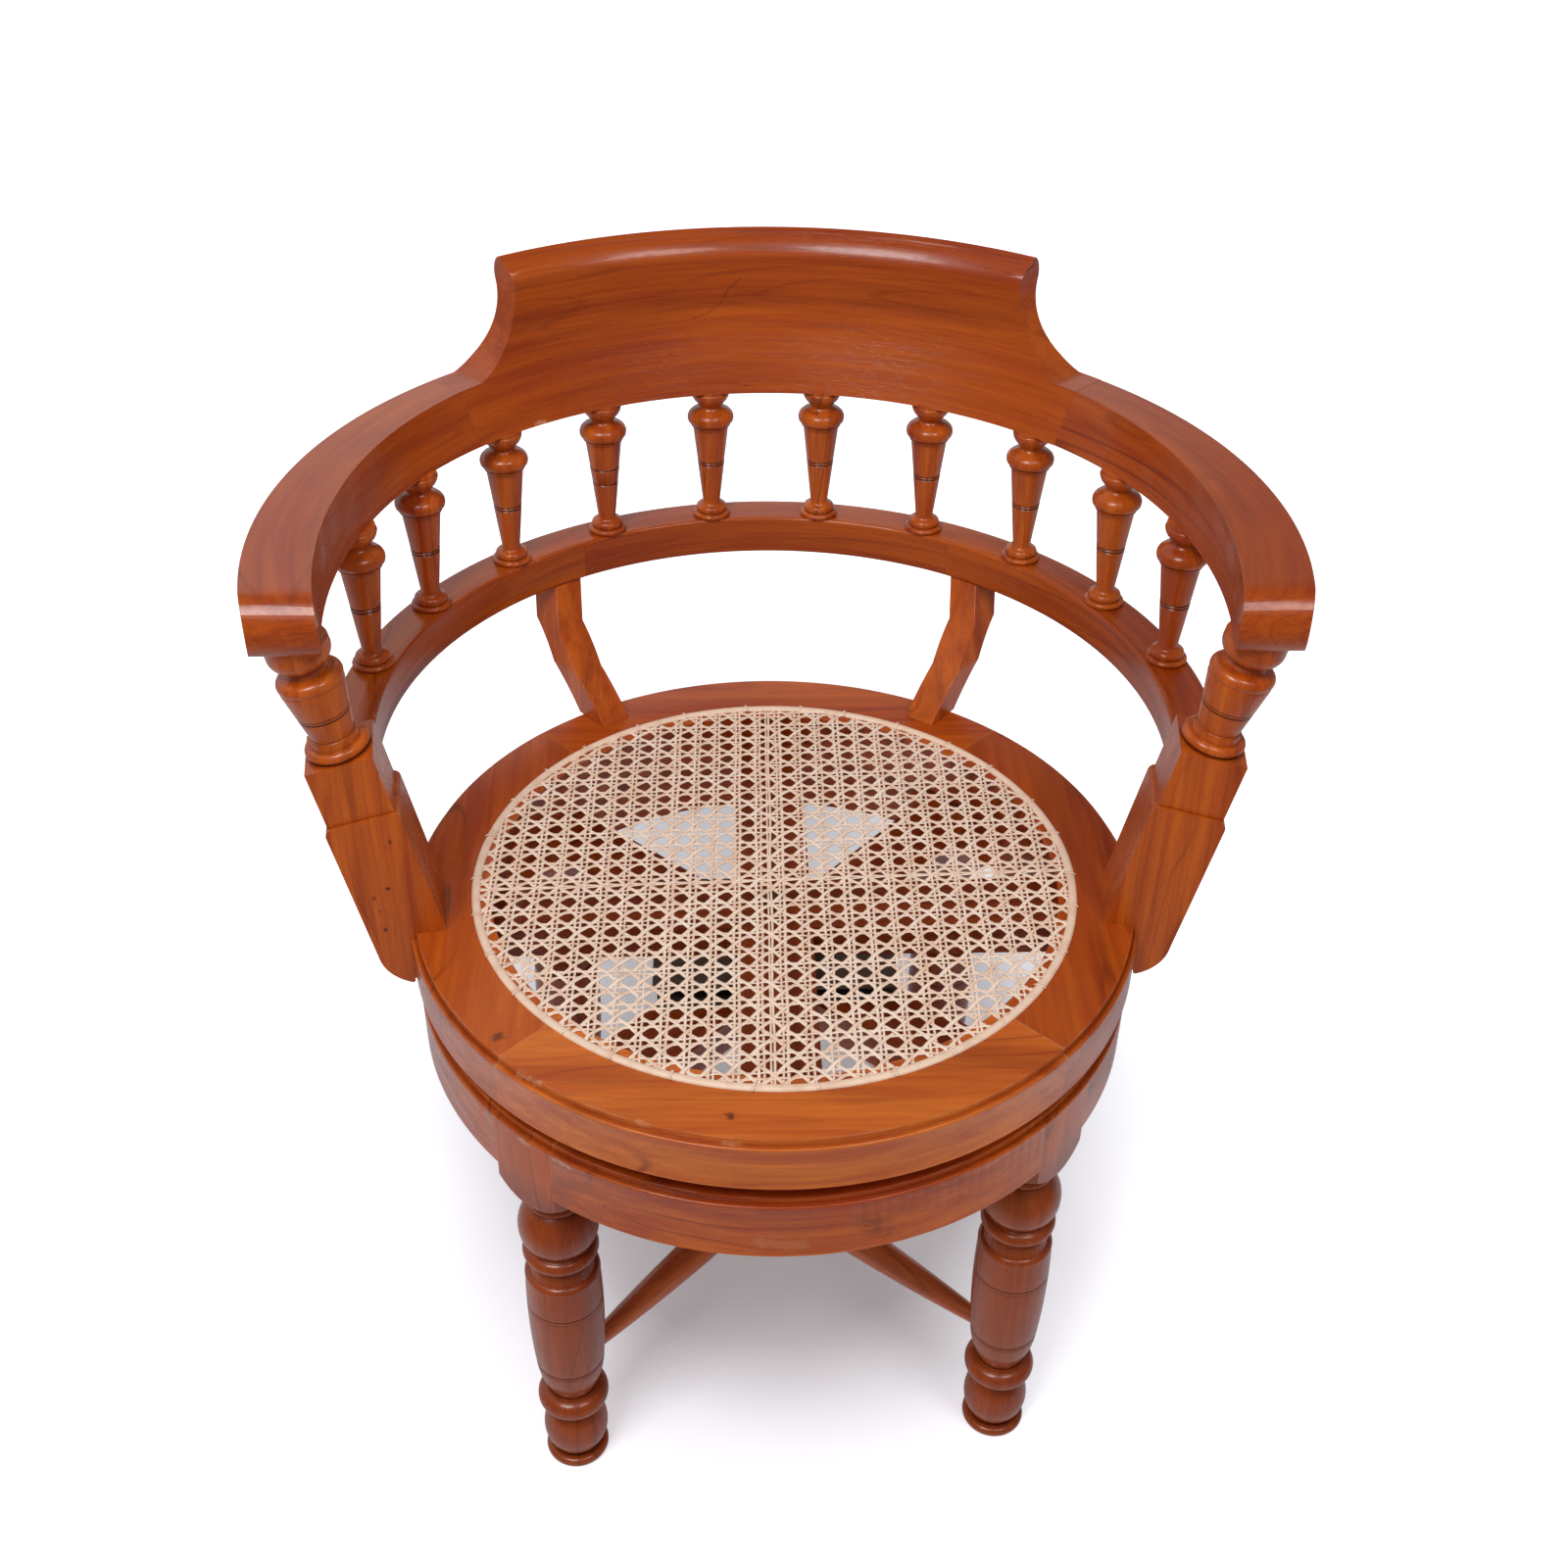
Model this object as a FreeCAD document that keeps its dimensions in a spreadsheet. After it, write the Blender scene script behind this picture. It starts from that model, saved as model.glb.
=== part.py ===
"""Revolving armchair: turned legs and balusters, a horseshoe arm rail and a round caned seat.

The frame's origin is on the floor under the middle of the chair, +Z is up and the chair faces -Y.
The seat, arms and back turn together on a ball race about the vertical swivel axis.
"""
import FreeCAD
import Part
import Sketcher
import math
import os
from types import SimpleNamespace

Vector = FreeCAD.Vector
Rotation = FreeCAD.Rotation
Placement = FreeCAD.Placement

# Driving dimensions in millimetres and degrees
DRIVING = {
    # Heights above the floor and plan sizes of the two rings
    "seat_height": 450.0,
    "seat_ring_thick": 42.5,
    "seat_ring_radius": 274.0,
    "seat_hole_radius": 214.0,
    "seat_housing": 17.0,
    "ring_gap": 15.0,
    "base_ring_thick": 54.0,
    "base_ring_radius": 272.0,
    "base_ring_width": 32.0,
    "ring_edge_inset": 4.0,
    "ring_edge_drop": 5.5,
    "base_turn": 3.3,
    # Caned panel
    "cane_radius": 228.0,
    "cane_thick": 2.0,
    "cane_pitch": 22.5,
    "cane_gap": 14.0,
    "cane_margin": 3.0,
    "binding_width": 6.5,
    "binding_thick": 3.2,
    # Legs
    "leg_axis_radius": 243.5,
    "leg_block_width": 56.0,
    "leg_block_hang": 28.0,
    "leg_block_shoulder": 20.0,
    "leg_block_corner": 42.0,
    "leg_block_foot": 20.0,
    "leg_foot_radius": 22.0,
    "leg_foot_taper": 2.0,
    "leg_foot_tall": 8.0,
    "leg_foot_bulge": 4.0,
    "leg_ball_neck": 16.5,
    "leg_ball_tall": 47.0,
    "leg_ball_bulge": 9.0,
    "leg_collar_radius": 20.0,
    "leg_collar_low": 7.0,
    "leg_collar_tall": 18.5,
    "leg_collar_bulge": 7.9,
    "leg_fillet_tall": 3.0,
    "leg_body_foot": 18.5,
    "leg_body_radius": 28.4,
    "leg_body_low_radius": 26.6,
    "leg_body_top_radius": 28.2,
    "leg_body_bulge": 1.6,
    "leg_body_low_tall": 34.0,
    "leg_body_tall": 142.0,
    "leg_shoulder_tall": 6.0,
    "leg_cove_tall": 15.0,
    "leg_cove_radius": 22.0,
    "leg_cove_head": 24.5,
    "leg_bead_radius": 23.5,
    "leg_bead_tall": 12.0,
    "leg_bead_bulge": 4.9,
    "leg_bulb_radius": 29.7,
    "leg_bulb_step": 2.0,
    "leg_bulb_bulge": 3.8,
    "leg_bulb_low": 19.0,
    "leg_bulb_high": 26.0,
    "leg_neck_radius": 18.0,
    "leg_neck_bead": 7.0,
    "leg_neck_bead_radius": 19.5,
    "leg_neck_bulge": 2.0,
    # Crossed stretchers
    "stretcher_height": 104.0,
    "stretcher_end_radius": 6.5,
    "stretcher_mid_radius": 14.5,
    "stretcher_swell_reach": 62.0,
    "stretcher_swell": 1.5,
    "stretcher_tenon": 14.0,
    # Crossed bearers under each ring and the swivel between them
    "bar_width": 56.0,
    "bar_thick": 28.0,
    "bar_tenon": 18.0,
    "bar_tenon_shoulder": 7.0,
    "bar_tenon_inset": 10.0,
    "bar_clearance": 0.3,
    "seat_bar_drop": 29.0,
    "plate_wide": 186.0,
    "plate_deep": 130.0,
    "plate_thick": 2.0,
    "race_radius": 44.0,
    "race_height": 18.0,
    "ball_radius": 8.0,
    "ball_clearance": 0.05,
    "ball_count": 12.0,
    "cage_thick": 1.6,
    "cage_width": 22.0,
    "bolt_radius": 6.0,
    "bolt_clearance": 0.05,
    "bolt_head_radius": 11.0,
    "bolt_head_tall": 7.0,
    "bolt_tail": 4.0,
    "plate_hole_radius": 8.0,
    "nut_tall": 10.0,
    "washer_radius": 15.0,
    "washer_thick": 2.5,
    "washer_gap": 0.3,
    "screw_radius": 2.4,
    "screw_head_radius": 4.4,
    "plate_screw_long": 18.0,
    "bar_screw_long": 34.0,
    "post_screw_long": 46.0,
    "plate_screw_reach": 57.0,
    "post_screw_set": 7.5,
    "post_screw_stagger": 6.4,
    # Front posts
    "post_azimuth": 8.1,
    "post_inner_radius": 247.0,
    "post_lean": 11.5,
    "post_depth": 53.5,
    "post_width": 54.0,
    "post_lap": 46.0,
    "post_lap_corner": 16.0,
    "post_lap_bulge": 5.0,
    "post_low_tall": 112.0,
    "post_low_round": 6.0,
    "post_block_inset": 3.0,
    "post_block_tall": 47.0,
    "post_bead_radius": 19.5,
    "post_bead_tall": 8.0,
    "post_bead_bulge": 3.4,
    "post_fillet_tall": 5.0,
    "post_fillet": 2.0,
    "post_drum_foot": 15.5,
    "post_drum_top": 22.5,
    "post_drum_tall": 41.0,
    "post_cap_radius": 22.0,
    "post_cap_tall": 11.0,
    "post_cap_bulge": 3.2,
    "post_cap_shoulder": 17.5,
    "post_neck_radius": 12.5,
    "post_cup_radius": 22.0,
    "post_cup_tall": 14.0,
    "post_tenon_radius": 8.0,
    # Rear knees
    "knee_azimuth": 49.0,
    "knee_inner_radius": 203.2,
    "knee_foot_depth": 34.0,
    "knee_width": 26.5,
    "knee_rise": 60.0,
    "knee_reach": 72.0,
    "knee_top_depth": 31.0,
    "knee_tenon": 12.0,
    "knee_belly": 5.0,
    # Lower hoop, upper hoop and crest
    "hoop_centre": 48.0,
    "hoop_inner_radius": 292.0,
    "hoop_width": 34.0,
    "hoop_rise": 90.0,
    "hoop_thick": 33.0,
    "hoop_round": 2.5,
    "hoop_end_angle": 14.5,
    "hoop_post_angle": 12.0,
    "hoop_joint": 32.0,
    "arm_rise": 240.0,
    "arm_thick": 40.0,
    "arm_inner_set": 11.0,
    "arm_width": 53.0,
    "arm_rake": 20.0,
    "arm_nose_reach": 111.0,
    "arm_centre": 36.0,
    "arm_nose_flat": 20.0,
    "arm_nose_tuck": 6.0,
    "arm_nose_bulge": 13.0,
    "arm_flare_inner": 14.0,
    "arm_flare_outer": 5.0,
    "arm_end_angle": 22.0,
    "crest_joint": 48.0,
    "crest_rise": 122.0,
    "crest_overhang": 8.0,
    "crest_cove_radius": 72.5,
    "crest_cove_angle": 48.1,
    "crest_cove_drop": 13.0,
    "crest_thick": 25.0,
    "crest_roll_drop": 20.0,
    "crest_back_hollow": 3.0,
    "crest_roll_bulge": 3.5,
    "crest_roll_depth": 8.0,
    "crest_top_bulge": 2.0,
    "crest_top_slope": 3.0,
    # Balusters between the hoops
    "baluster_count": 10.0,
    "baluster_spacing": 17.3,
    "baluster_set": 2.0,
    "baluster_foot_radius": 14.2,
    "baluster_foot_rim": 4.5,
    "baluster_foot_bulge": 1.8,
    "baluster_ledge_radius": 12.0,
    "baluster_ledge_step": 1.5,
    "baluster_ledge_bulge": 1.2,
    "baluster_foot_tall": 10.5,
    "baluster_collar_radius": 9.5,
    "baluster_neck_radius": 7.4,
    "baluster_neck_tall": 4.0,
    "baluster_taper_tall": 65.5,
    "baluster_taper_top": 15.0,
    "baluster_band_radius": 15.8,
    "baluster_band_tall": 2.0,
    "baluster_cap_radius": 14.2,
    "baluster_cap_tall": 12.0,
    "baluster_cap_bulge": 4.9,
    "baluster_cap_slope": 2.5,
    "baluster_cup_neck": 8.8,
    "baluster_cup_tall": 7.5,
    "baluster_cup_bulge": 2.2,
    "baluster_cup_radius": 15.8,
    "tenon_radius": 5.0,
    "tenon_long": 11.0,
    "dowel_radius": 5.0,
    "dowel_long": 40.0,
}


class Size:
    """A number worked out from the sheet, with the formula that keeps it tied to the sheet."""

    def __init__(self, number, formula):
        self.number = float(number)
        self.formula = formula

    def joined(self, other, sign, number):
        return Size(number, f"({self.formula} {sign} {sized(other).formula})")

    def __add__(self, other):
        return self.joined(other, "+", self.number + sized(other).number)

    def __sub__(self, other):
        return self.joined(other, "-", self.number - sized(other).number)

    def __mul__(self, other):
        return self.joined(other, "*", self.number * sized(other).number)

    def __truediv__(self, other):
        return self.joined(other, "/", self.number / sized(other).number)

    def __radd__(self, other):
        return sized(other) + self

    def __rsub__(self, other):
        return sized(other) - self

    def __rmul__(self, other):
        return sized(other) * self

    def __neg__(self):
        return sized(0) - self


def sized(value):
    """A plain number taken as a size."""
    if isinstance(value, Size):
        return value
    return Size(value, repr(float(value)))


def sine(angle):
    return Size(math.sin(math.radians(angle.number)), f"sin({angle.formula} * 1 deg)")


def cosine(angle):
    return Size(math.cos(math.radians(angle.number)), f"cos({angle.formula} * 1 deg)")


def tangent(angle):
    return Size(math.tan(math.radians(angle.number)), f"tan({angle.formula} * 1 deg)")


def root(value):
    return Size(math.sqrt(value.number), f"sqrt({value.formula})")


# The document and its sheet of driving dimensions
doc = FreeCAD.newDocument("revolving_armchair")
sheet = doc.addObject("Spreadsheet::Sheet", "Sizes")
for row, (alias, value) in enumerate(DRIVING.items(), start=1):
    sheet.set(f"A{row}", alias)
    sheet.set(f"B{row}", str(value))
    sheet.setAlias(f"B{row}", alias)
doc.recompute()
dim = SimpleNamespace(
    **{alias: Size(float(sheet.get(alias)), f"Sizes.{alias}") for alias in DRIVING}
)
pieces = {}


# How far an arc stands out from its chord, as a share of the corner it rounds
ARC_LIFT = 1 - math.sqrt(0.5)
# How far a cutting tool runs past the face it cuts, in millimetres
PAST = 1
# Sector wide enough for one leg block or one front post, in degrees
SECTOR = 40


# Making and binding
def bind(thing, prop, value):
    """Sets a property to a size and ties it to the sheet."""
    value = sized(value)
    thing.setExpression(prop, value.formula)


def part(kind, name, **sizes):
    """A Part primitive whose sizes are bound to the sheet."""
    made = doc.addObject(f"Part::{kind}", name)
    for prop, value in sizes.items():
        bind(made, prop, value)
    return made


def put(thing, x=0, y=0, z=0, turn=None, axis=Vector(0, 0, 1)):
    """Places an object by bound offsets and, where asked, a bound turn about one axis."""
    angle = sized(0 if turn is None else turn)
    thing.Placement = Placement(Vector(0, 0, 0), Rotation(axis, angle.number))
    for letter, value in zip("xyz", (x, y, z)):
        bind(thing, f"Placement.Base.{letter}", value)
    if turn is not None:
        bind(thing, "Placement.Rotation.Angle", angle)
    return thing


def box(name, low, high):
    """A box between two corners."""
    made = part(
        "Box",
        name,
        Length=sized(high[0]) - low[0],
        Width=sized(high[1]) - low[1],
        Height=sized(high[2]) - low[2],
    )
    return put(made, *low)


def rod(name, radius, length, x=0, y=0, z=0, turn=None, axis=Vector(0, 0, 1)):
    """A round rod that starts at a point and runs along +Z before it is turned."""
    made = part("Cylinder", name, Radius=radius, Height=length)
    return put(made, x, y, z, turn, axis)


def fuse(name, things):
    if len(things) == 1:
        return things[0]
    made = doc.addObject("Part::MultiFuse", name)
    made.Shapes = things
    return made


def common(name, things):
    made = doc.addObject("Part::MultiCommon", name)
    made.Shapes = things
    return made


def cut(name, thing, tools):
    """The thing less every tool."""
    made = doc.addObject("Part::Cut", name)
    made.Base = thing
    made.Tool = fuse(f"{name}_tools", tools)
    return made


def group(name, things):
    """Separate like solids that share one node."""
    made = doc.addObject("Part::Compound", name)
    made.Links = things
    return made


def keep(name, thing, x=0, y=0, z=0, turn=None):
    """Names a finished piece and puts it in the chair's frame, about the swivel axis."""
    put(thing, x, sized(y) + swivel_back, z, turn)
    thing.Label = name
    pieces[name] = thing
    return thing


def edge_radius(start, end, bulge):
    """Radius of an arc between two corners that stands out from its chord by the bulge."""
    across = sized(end[0]) - start[0]
    along = sized(end[1]) - start[1]
    chord = across * across + along * along
    high = sized(bulge)
    if high.number < 0:
        high = -high
    return (chord / 4 + high * high) / (2 * high)


def outline(body, name, role, corners):
    """A closed sketch through corners; a corner's third value bulges the edge that leaves it."""
    plane = [f for f in body.Origin.OriginFeatures if f.Role == role][0]
    sketch = body.newObject("Sketcher::SketchObject", name)
    sketch.AttachmentSupport = [(plane, "")]
    sketch.MapMode = "FlatFace"
    count = len(corners)
    points = [Vector(sized(c[0]).number, sized(c[1]).number, 0) for c in corners]
    ends = []
    radii = []
    for i, corner in enumerate(corners):
        start, end = points[i], points[(i + 1) % count]
        bulge = sized(corner[2]).number if len(corner) > 2 else 0
        if bulge == 0:
            sketch.addGeometry(Part.LineSegment(start, end), False)
            ends.append((1, 2))
            continue
        along = (end - start).normalize()
        middle = (start + end) / 2 + Vector(along.y, -along.x, 0) * bulge
        if bulge > 0:
            sketch.addGeometry(Part.Arc(start, middle, end), False)
            ends.append((1, 2))
        else:
            sketch.addGeometry(Part.Arc(end, middle, start), False)
            ends.append((2, 1))
        radii.append((i, edge_radius(corner, corners[(i + 1) % count], corner[2])))
    for i in range(count):
        after = (i + 1) % count
        sketch.addConstraint(
            Sketcher.Constraint("Coincident", i, ends[i][1], after, ends[after][0])
        )
    for i, corner in enumerate(corners):
        for kind, value in zip(("DistanceX", "DistanceY"), corner):
            value = sized(value)
            held = Sketcher.Constraint(kind, i, ends[i][0], value.number)
            index = sketch.addConstraint(held)
            bind(sketch, f"Constraints[{index}]", value)
    for i, radius in radii:
        index = sketch.addConstraint(Sketcher.Constraint("Radius", i, radius.number))
        bind(sketch, f"Constraints[{index}]", radius)
    return sketch


def revolved(name, corners, angle=360):
    """A body revolved about +Z from an outline of (radius, height) corners, centred on +X."""
    body = doc.addObject("PartDesign::Body", name)
    sketch = outline(body, f"{name}_outline", "XZ_Plane", corners)
    turned = body.newObject("PartDesign::Revolution", f"{name}_turned")
    turned.Profile = sketch
    turned.ReferenceAxis = (sketch, ["V_Axis"])
    turned.Midplane = True
    bind(turned, "Angle", angle)
    return body


def sawn(name, corners, width, role="XZ_Plane"):
    """A body of even width sawn to an outline, centred on the outline's plane."""
    body = doc.addObject("PartDesign::Body", name)
    sketch = outline(body, f"{name}_outline", role, corners)
    pad = body.newObject("PartDesign::Pad", f"{name}_board")
    pad.Profile = sketch
    pad.Midplane = True
    bind(pad, "Length", width)
    return body


# Directions about the swivel axis, in degrees, and half the span of one ring segment
BACK = 90
HALF_SEGMENT = 45

# Levels and radii that follow from the driving dimensions
seat_bottom = dim.seat_height - dim.seat_ring_thick
base_top = seat_bottom - dim.ring_gap
base_bottom = base_top - dim.base_ring_thick
base_inner = dim.base_ring_radius - dim.base_ring_width
seat_bar_top = dim.seat_height - dim.seat_bar_drop
seat_bar_bottom = seat_bar_top - dim.bar_thick
bearer_top = seat_bar_bottom - dim.race_height
bearer_bottom = bearer_top - dim.bar_thick
leg_inner = dim.leg_axis_radius - dim.leg_block_width / 2
bar_half = dim.bar_width / 2
base_tongue_half = bar_half - dim.bar_tenon_inset
base_tongue = (bearer_bottom + dim.bar_tenon_shoulder, bearer_top - dim.bar_tenon_shoulder)
hoop_low = dim.seat_height + dim.hoop_rise
hoop_top = hoop_low + dim.hoop_thick
hoop_mid = dim.hoop_inner_radius + dim.hoop_width / 2
arm_low = dim.seat_height + dim.arm_rise
arm_top = arm_low + dim.arm_thick
arm_inner = dim.hoop_inner_radius + dim.arm_inner_set
arm_outer = arm_inner + dim.arm_width
baluster_centre = (dim.hoop_centre + dim.arm_centre) / 2
baluster_reach = hoop_mid + dim.baluster_set
crest_top = arm_low + dim.crest_rise
crest_back = arm_outer + dim.crest_overhang
crest_front = crest_back - dim.crest_thick
swivel_back = (dim.seat_ring_radius - dim.arm_centre - crest_back) / 2


def ring_section(inner, outer, low, high):
    """A ring's section, with the small stepped moulding round its upper outer edge."""
    step = dim.ring_edge_inset
    drop = dim.ring_edge_drop
    return [
        (inner, low),
        (outer, low),
        (outer, high - drop - step / 2, step / 4),
        (outer - step / 2, high - drop),
        (outer - step, high - drop),
        (outer - step, high),
        (inner, high),
    ]


def ring_blank(name, angle):
    """A sector of the base ring as it is before the leg blocks are let in."""
    return revolved(
        name,
        ring_section(base_inner, dim.base_ring_radius, base_bottom, base_top),
        angle,
    )


# Base: four turned legs with square blocks let into a ring of four rails
QUARTERS = {
    "front_left": 225,
    "front_right": 315,
    "back_right": 45,
    "back_left": 135,
}
SIDES = {"front": 270, "right": 0, "back": 90, "left": 180}


def leg_outline():
    """The turned part of a leg, from the floor up into its block."""
    d = dim
    ball_foot = d.leg_foot_tall
    collar_foot = ball_foot + d.leg_ball_tall + d.leg_collar_low
    collar_head = collar_foot + d.leg_collar_tall
    body_foot = collar_head + d.leg_fillet_tall
    shoulder = body_foot + d.leg_body_tall - d.leg_shoulder_tall
    cove = body_foot + d.leg_body_tall
    bead = cove + d.leg_cove_tall
    bulb = bead + d.leg_bead_tall
    bulb_head = bulb + d.leg_bulb_low + d.leg_bulb_high
    neck = bulb_head + d.leg_neck_bead
    return [
        (0, 0),
        (d.leg_foot_radius, 0, d.leg_foot_bulge),
        (d.leg_foot_radius - d.leg_foot_taper, d.leg_foot_tall),
        (d.leg_ball_neck, ball_foot, d.leg_ball_bulge),
        (d.leg_ball_neck, ball_foot + d.leg_ball_tall),
        (d.leg_ball_neck, collar_foot),
        (d.leg_collar_radius, collar_foot, d.leg_collar_bulge),
        (d.leg_collar_radius, collar_head),
        (d.leg_collar_radius, body_foot),
        (d.leg_body_foot, body_foot, d.leg_body_bulge),
        (d.leg_body_low_radius, body_foot + d.leg_body_low_tall, d.leg_body_bulge),
        (d.leg_body_top_radius, shoulder, d.leg_body_bulge),
        (d.leg_cove_head, cove),
        (d.leg_cove_radius, cove + d.leg_cove_tall / 2, -d.leg_body_bulge),
        (d.leg_cove_radius, bead),
        (d.leg_bead_radius, bead, d.leg_bead_bulge),
        (d.leg_bead_radius, bulb),
        (d.leg_cove_radius, bulb + d.leg_bulb_step, d.leg_neck_bulge),
        (d.leg_bulb_radius, bulb + d.leg_bulb_low, d.leg_bulb_bulge),
        (d.leg_neck_radius, bulb_head),
        (d.leg_neck_bead_radius, bulb_head, d.leg_neck_bulge),
        (d.leg_neck_bead_radius, neck),
        (d.leg_neck_radius, neck),
        (d.leg_neck_radius, base_bottom),
        (0, base_bottom),
    ]


def leg_block():
    """The square head of a leg, curved to the ring's face and rounded down to the turning."""
    half = dim.leg_block_width / 2
    block_low = base_bottom - dim.leg_block_hang
    sector = revolved(
        "block_sector",
        ring_section(leg_inner, dim.base_ring_radius, block_low, base_top),
        SECTOR,
    )
    put(sector, x=-dim.leg_axis_radius)
    square = box(
        "block_square", (-2 * half, -half, block_low), (2 * half, half, base_top)
    )
    corner = dim.leg_block_corner
    shoulder = revolved(
        "block_shoulder",
        [
            (0, block_low),
            (dim.leg_block_foot, block_low, dim.leg_neck_bulge),
            (corner, block_low + dim.leg_block_shoulder),
            (corner, base_top),
            (0, base_top),
        ],
    )
    return common("block", [sector, square, shoulder])


def stretcher_rod(name):
    """The straight bore line of a leg's stretcher socket, aimed at the swivel axis."""
    return rod(
        name,
        dim.stretcher_end_radius,
        dim.stretcher_tenon + dim.leg_body_radius,
        x=-dim.stretcher_tenon / 2 - dim.leg_body_radius,
        z=dim.stretcher_height,
        turn=90,
        axis=Vector(0, 1, 0),
    )


def bar_mortise(name):
    """The slot in a leg's block for the end of a base bar, in the leg's own frame."""
    inner = leg_inner - dim.leg_axis_radius
    return box(
        name,
        (inner - PAST, -base_tongue_half, base_tongue[0]),
        (inner + dim.bar_tenon, base_tongue_half, base_tongue[1]),
    )


def base_dowels(name):
    """Dowels that cross the two sides of a leg block, in the leg's own frame."""
    half = dim.leg_block_width / 2
    level = base_bottom + dim.base_ring_thick / 2
    return [
        rod(
            f"{name}_{side}",
            dim.dowel_radius,
            dim.dowel_long,
            x=dim.base_ring_radius - dim.base_ring_width / 2 - dim.leg_axis_radius,
            y=half * side + dim.dowel_long / 2,
            z=level,
            turn=90,
            axis=Vector(1, 0, 0),
        )
        for side in (1, -1)
    ]


def at_leg(thing, azimuth):
    """Moves something made in a leg's own frame to that leg's place about the swivel axis."""
    angle = dim.base_turn + azimuth
    return put(
        thing,
        x=dim.leg_axis_radius * cosine(angle),
        y=dim.leg_axis_radius * sine(angle),
        turn=angle,
    )


for corner_name, azimuth in QUARTERS.items():
    turning = revolved("leg_turning", leg_outline())
    whole = fuse("leg_blank", [turning, leg_block()])
    bores = [stretcher_rod("leg_socket"), bar_mortise("leg_mortise"), *base_dowels("leg_peg")]
    bored = cut("leg_bored", whole, bores)
    angle = dim.base_turn + azimuth
    keep(
        f"leg_{corner_name}",
        bored,
        x=dim.leg_axis_radius * cosine(angle),
        y=dim.leg_axis_radius * sine(angle),
        turn=angle,
    )

all_dowels = []
for corner_name, azimuth in QUARTERS.items():
    pegs = group("corner_pegs", base_dowels("corner_peg"))
    all_dowels.append(at_leg(pegs, azimuth))
keep("base_ring_dowels", group("base_dowels", all_dowels))

for side_name, azimuth in SIDES.items():
    blank = ring_blank("rail_blank", 2 * HALF_SEGMENT)
    tools = []
    for side in (1, -1):
        half = dim.leg_block_width / 2
        recess = box(
            "rail_recess",
            (-2 * half, -half, base_bottom),
            (2 * half, half, base_top),
        )
        recess = fuse("rail_end", [recess, *base_dowels("rail_peg")])
        angle = sized(HALF_SEGMENT * side)
        put(
            recess,
            x=dim.leg_axis_radius * cosine(angle),
            y=dim.leg_axis_radius * sine(angle),
            turn=angle,
        )
        tools.append(recess)
    rail = cut("rail", blank, tools)
    keep(f"base_rail_{side_name}", rail, turn=dim.base_turn + azimuth)


# Crossed stretchers, swelling towards a halving joint under the swivel
def stretcher_outline():
    """A stretcher's turned outline, from one leg to the other."""
    d = dim
    reach = d.leg_axis_radius - d.stretcher_tenon / 2
    swell = d.stretcher_swell_reach
    return [
        (0, -reach),
        (d.stretcher_end_radius, -reach),
        (d.stretcher_end_radius, -d.leg_axis_radius + d.leg_body_radius, d.stretcher_swell),
        (d.stretcher_mid_radius, -swell, d.stretcher_swell / 2),
        (d.stretcher_mid_radius, swell, d.stretcher_swell),
        (d.stretcher_end_radius, d.leg_axis_radius - d.leg_body_radius),
        (d.stretcher_end_radius, reach),
        (0, reach),
    ]


for level_name, azimuth, side in (("lower", 45, 1), ("upper", 135, -1)):
    turning = revolved("stretcher_turning", stretcher_outline())
    put(turning, turn=90, axis=Vector(0, 1, 0))
    lap = dim.stretcher_mid_radius + dim.stretcher_swell / 2
    low, high = (0, lap * 2) if side > 0 else (-lap * 2, 0)
    notch = box("stretcher_notch", (-lap, -lap * 2, low), (lap, lap * 2, high))
    keep(
        f"stretcher_{level_name}",
        cut("stretcher", turning, [notch]),
        z=dim.stretcher_height,
        turn=dim.base_turn + azimuth,
    )


# Crossed bearers: one pair between the legs' heads and one under the seat ring
def bearer(name, reach, tip, top, notch_top, tongue_half, tongue, bore):
    """A bar along X, halved at its middle, with a tenon at each end and the pivot's hole."""
    half = bar_half
    low = top - dim.bar_thick
    middle = top - dim.bar_thick / 2
    blank = box(f"{name}_blank", (-reach, -half, low), (reach, half, top))
    tongue = box(
        f"{name}_tongue",
        (-tip, -tongue_half, tongue[0]),
        (tip, tongue_half, tongue[1]),
    )
    levels = (middle, top + PAST) if notch_top else (low - PAST, middle)
    halving = box(
        f"{name}_halving", (-half, -half - PAST, levels[0]), (half, half + PAST, levels[1])
    )
    hole = rod(f"{name}_hole", bore, dim.bar_thick + 2 * PAST, z=low - PAST)
    whole = fuse(f"{name}_whole", [blank, tongue])
    return cut(name, whole, [halving, hole, *screw_tools(name, top, low)])


def screw(name, length, x, y, z, up):
    """A countersunk wood screw that starts at its head and points up or down."""
    taper = dim.screw_head_radius - dim.screw_radius
    head = part(
        "Cone",
        f"{name}_head",
        Radius1=dim.screw_head_radius,
        Radius2=dim.screw_radius,
        Height=taper,
    )
    shank = part("Cylinder", f"{name}_shank", Radius=dim.screw_radius, Height=length)
    made = fuse(name, [head, shank])
    if up:
        return put(made, x, y, z)
    return put(made, x, y, z, turn=180, axis=Vector(1, 0, 0))


def plate_screws(name, z, up, azimuths):
    """Screws of one bearing plate, out along the arms of the crossed bars."""
    reach = dim.plate_screw_reach
    made = []
    for azimuth in azimuths:
        angle = sized(azimuth)
        place = (reach * cosine(angle), reach * sine(angle), z)
        made.append(screw(f"{name}_{azimuth}", dim.plate_screw_long, *place, up))
    return made


def screw_tools(name, top, low):
    """Pilot holes for the plate's screws, from the top or the bottom face of a bar."""
    both_ways = (0, 180)
    if name.startswith("seat"):
        return plate_screws(f"{name}_pilot", low - dim.plate_thick, True, both_ways)
    return plate_screws(f"{name}_pilot", top + dim.plate_thick, False, both_ways)


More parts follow.
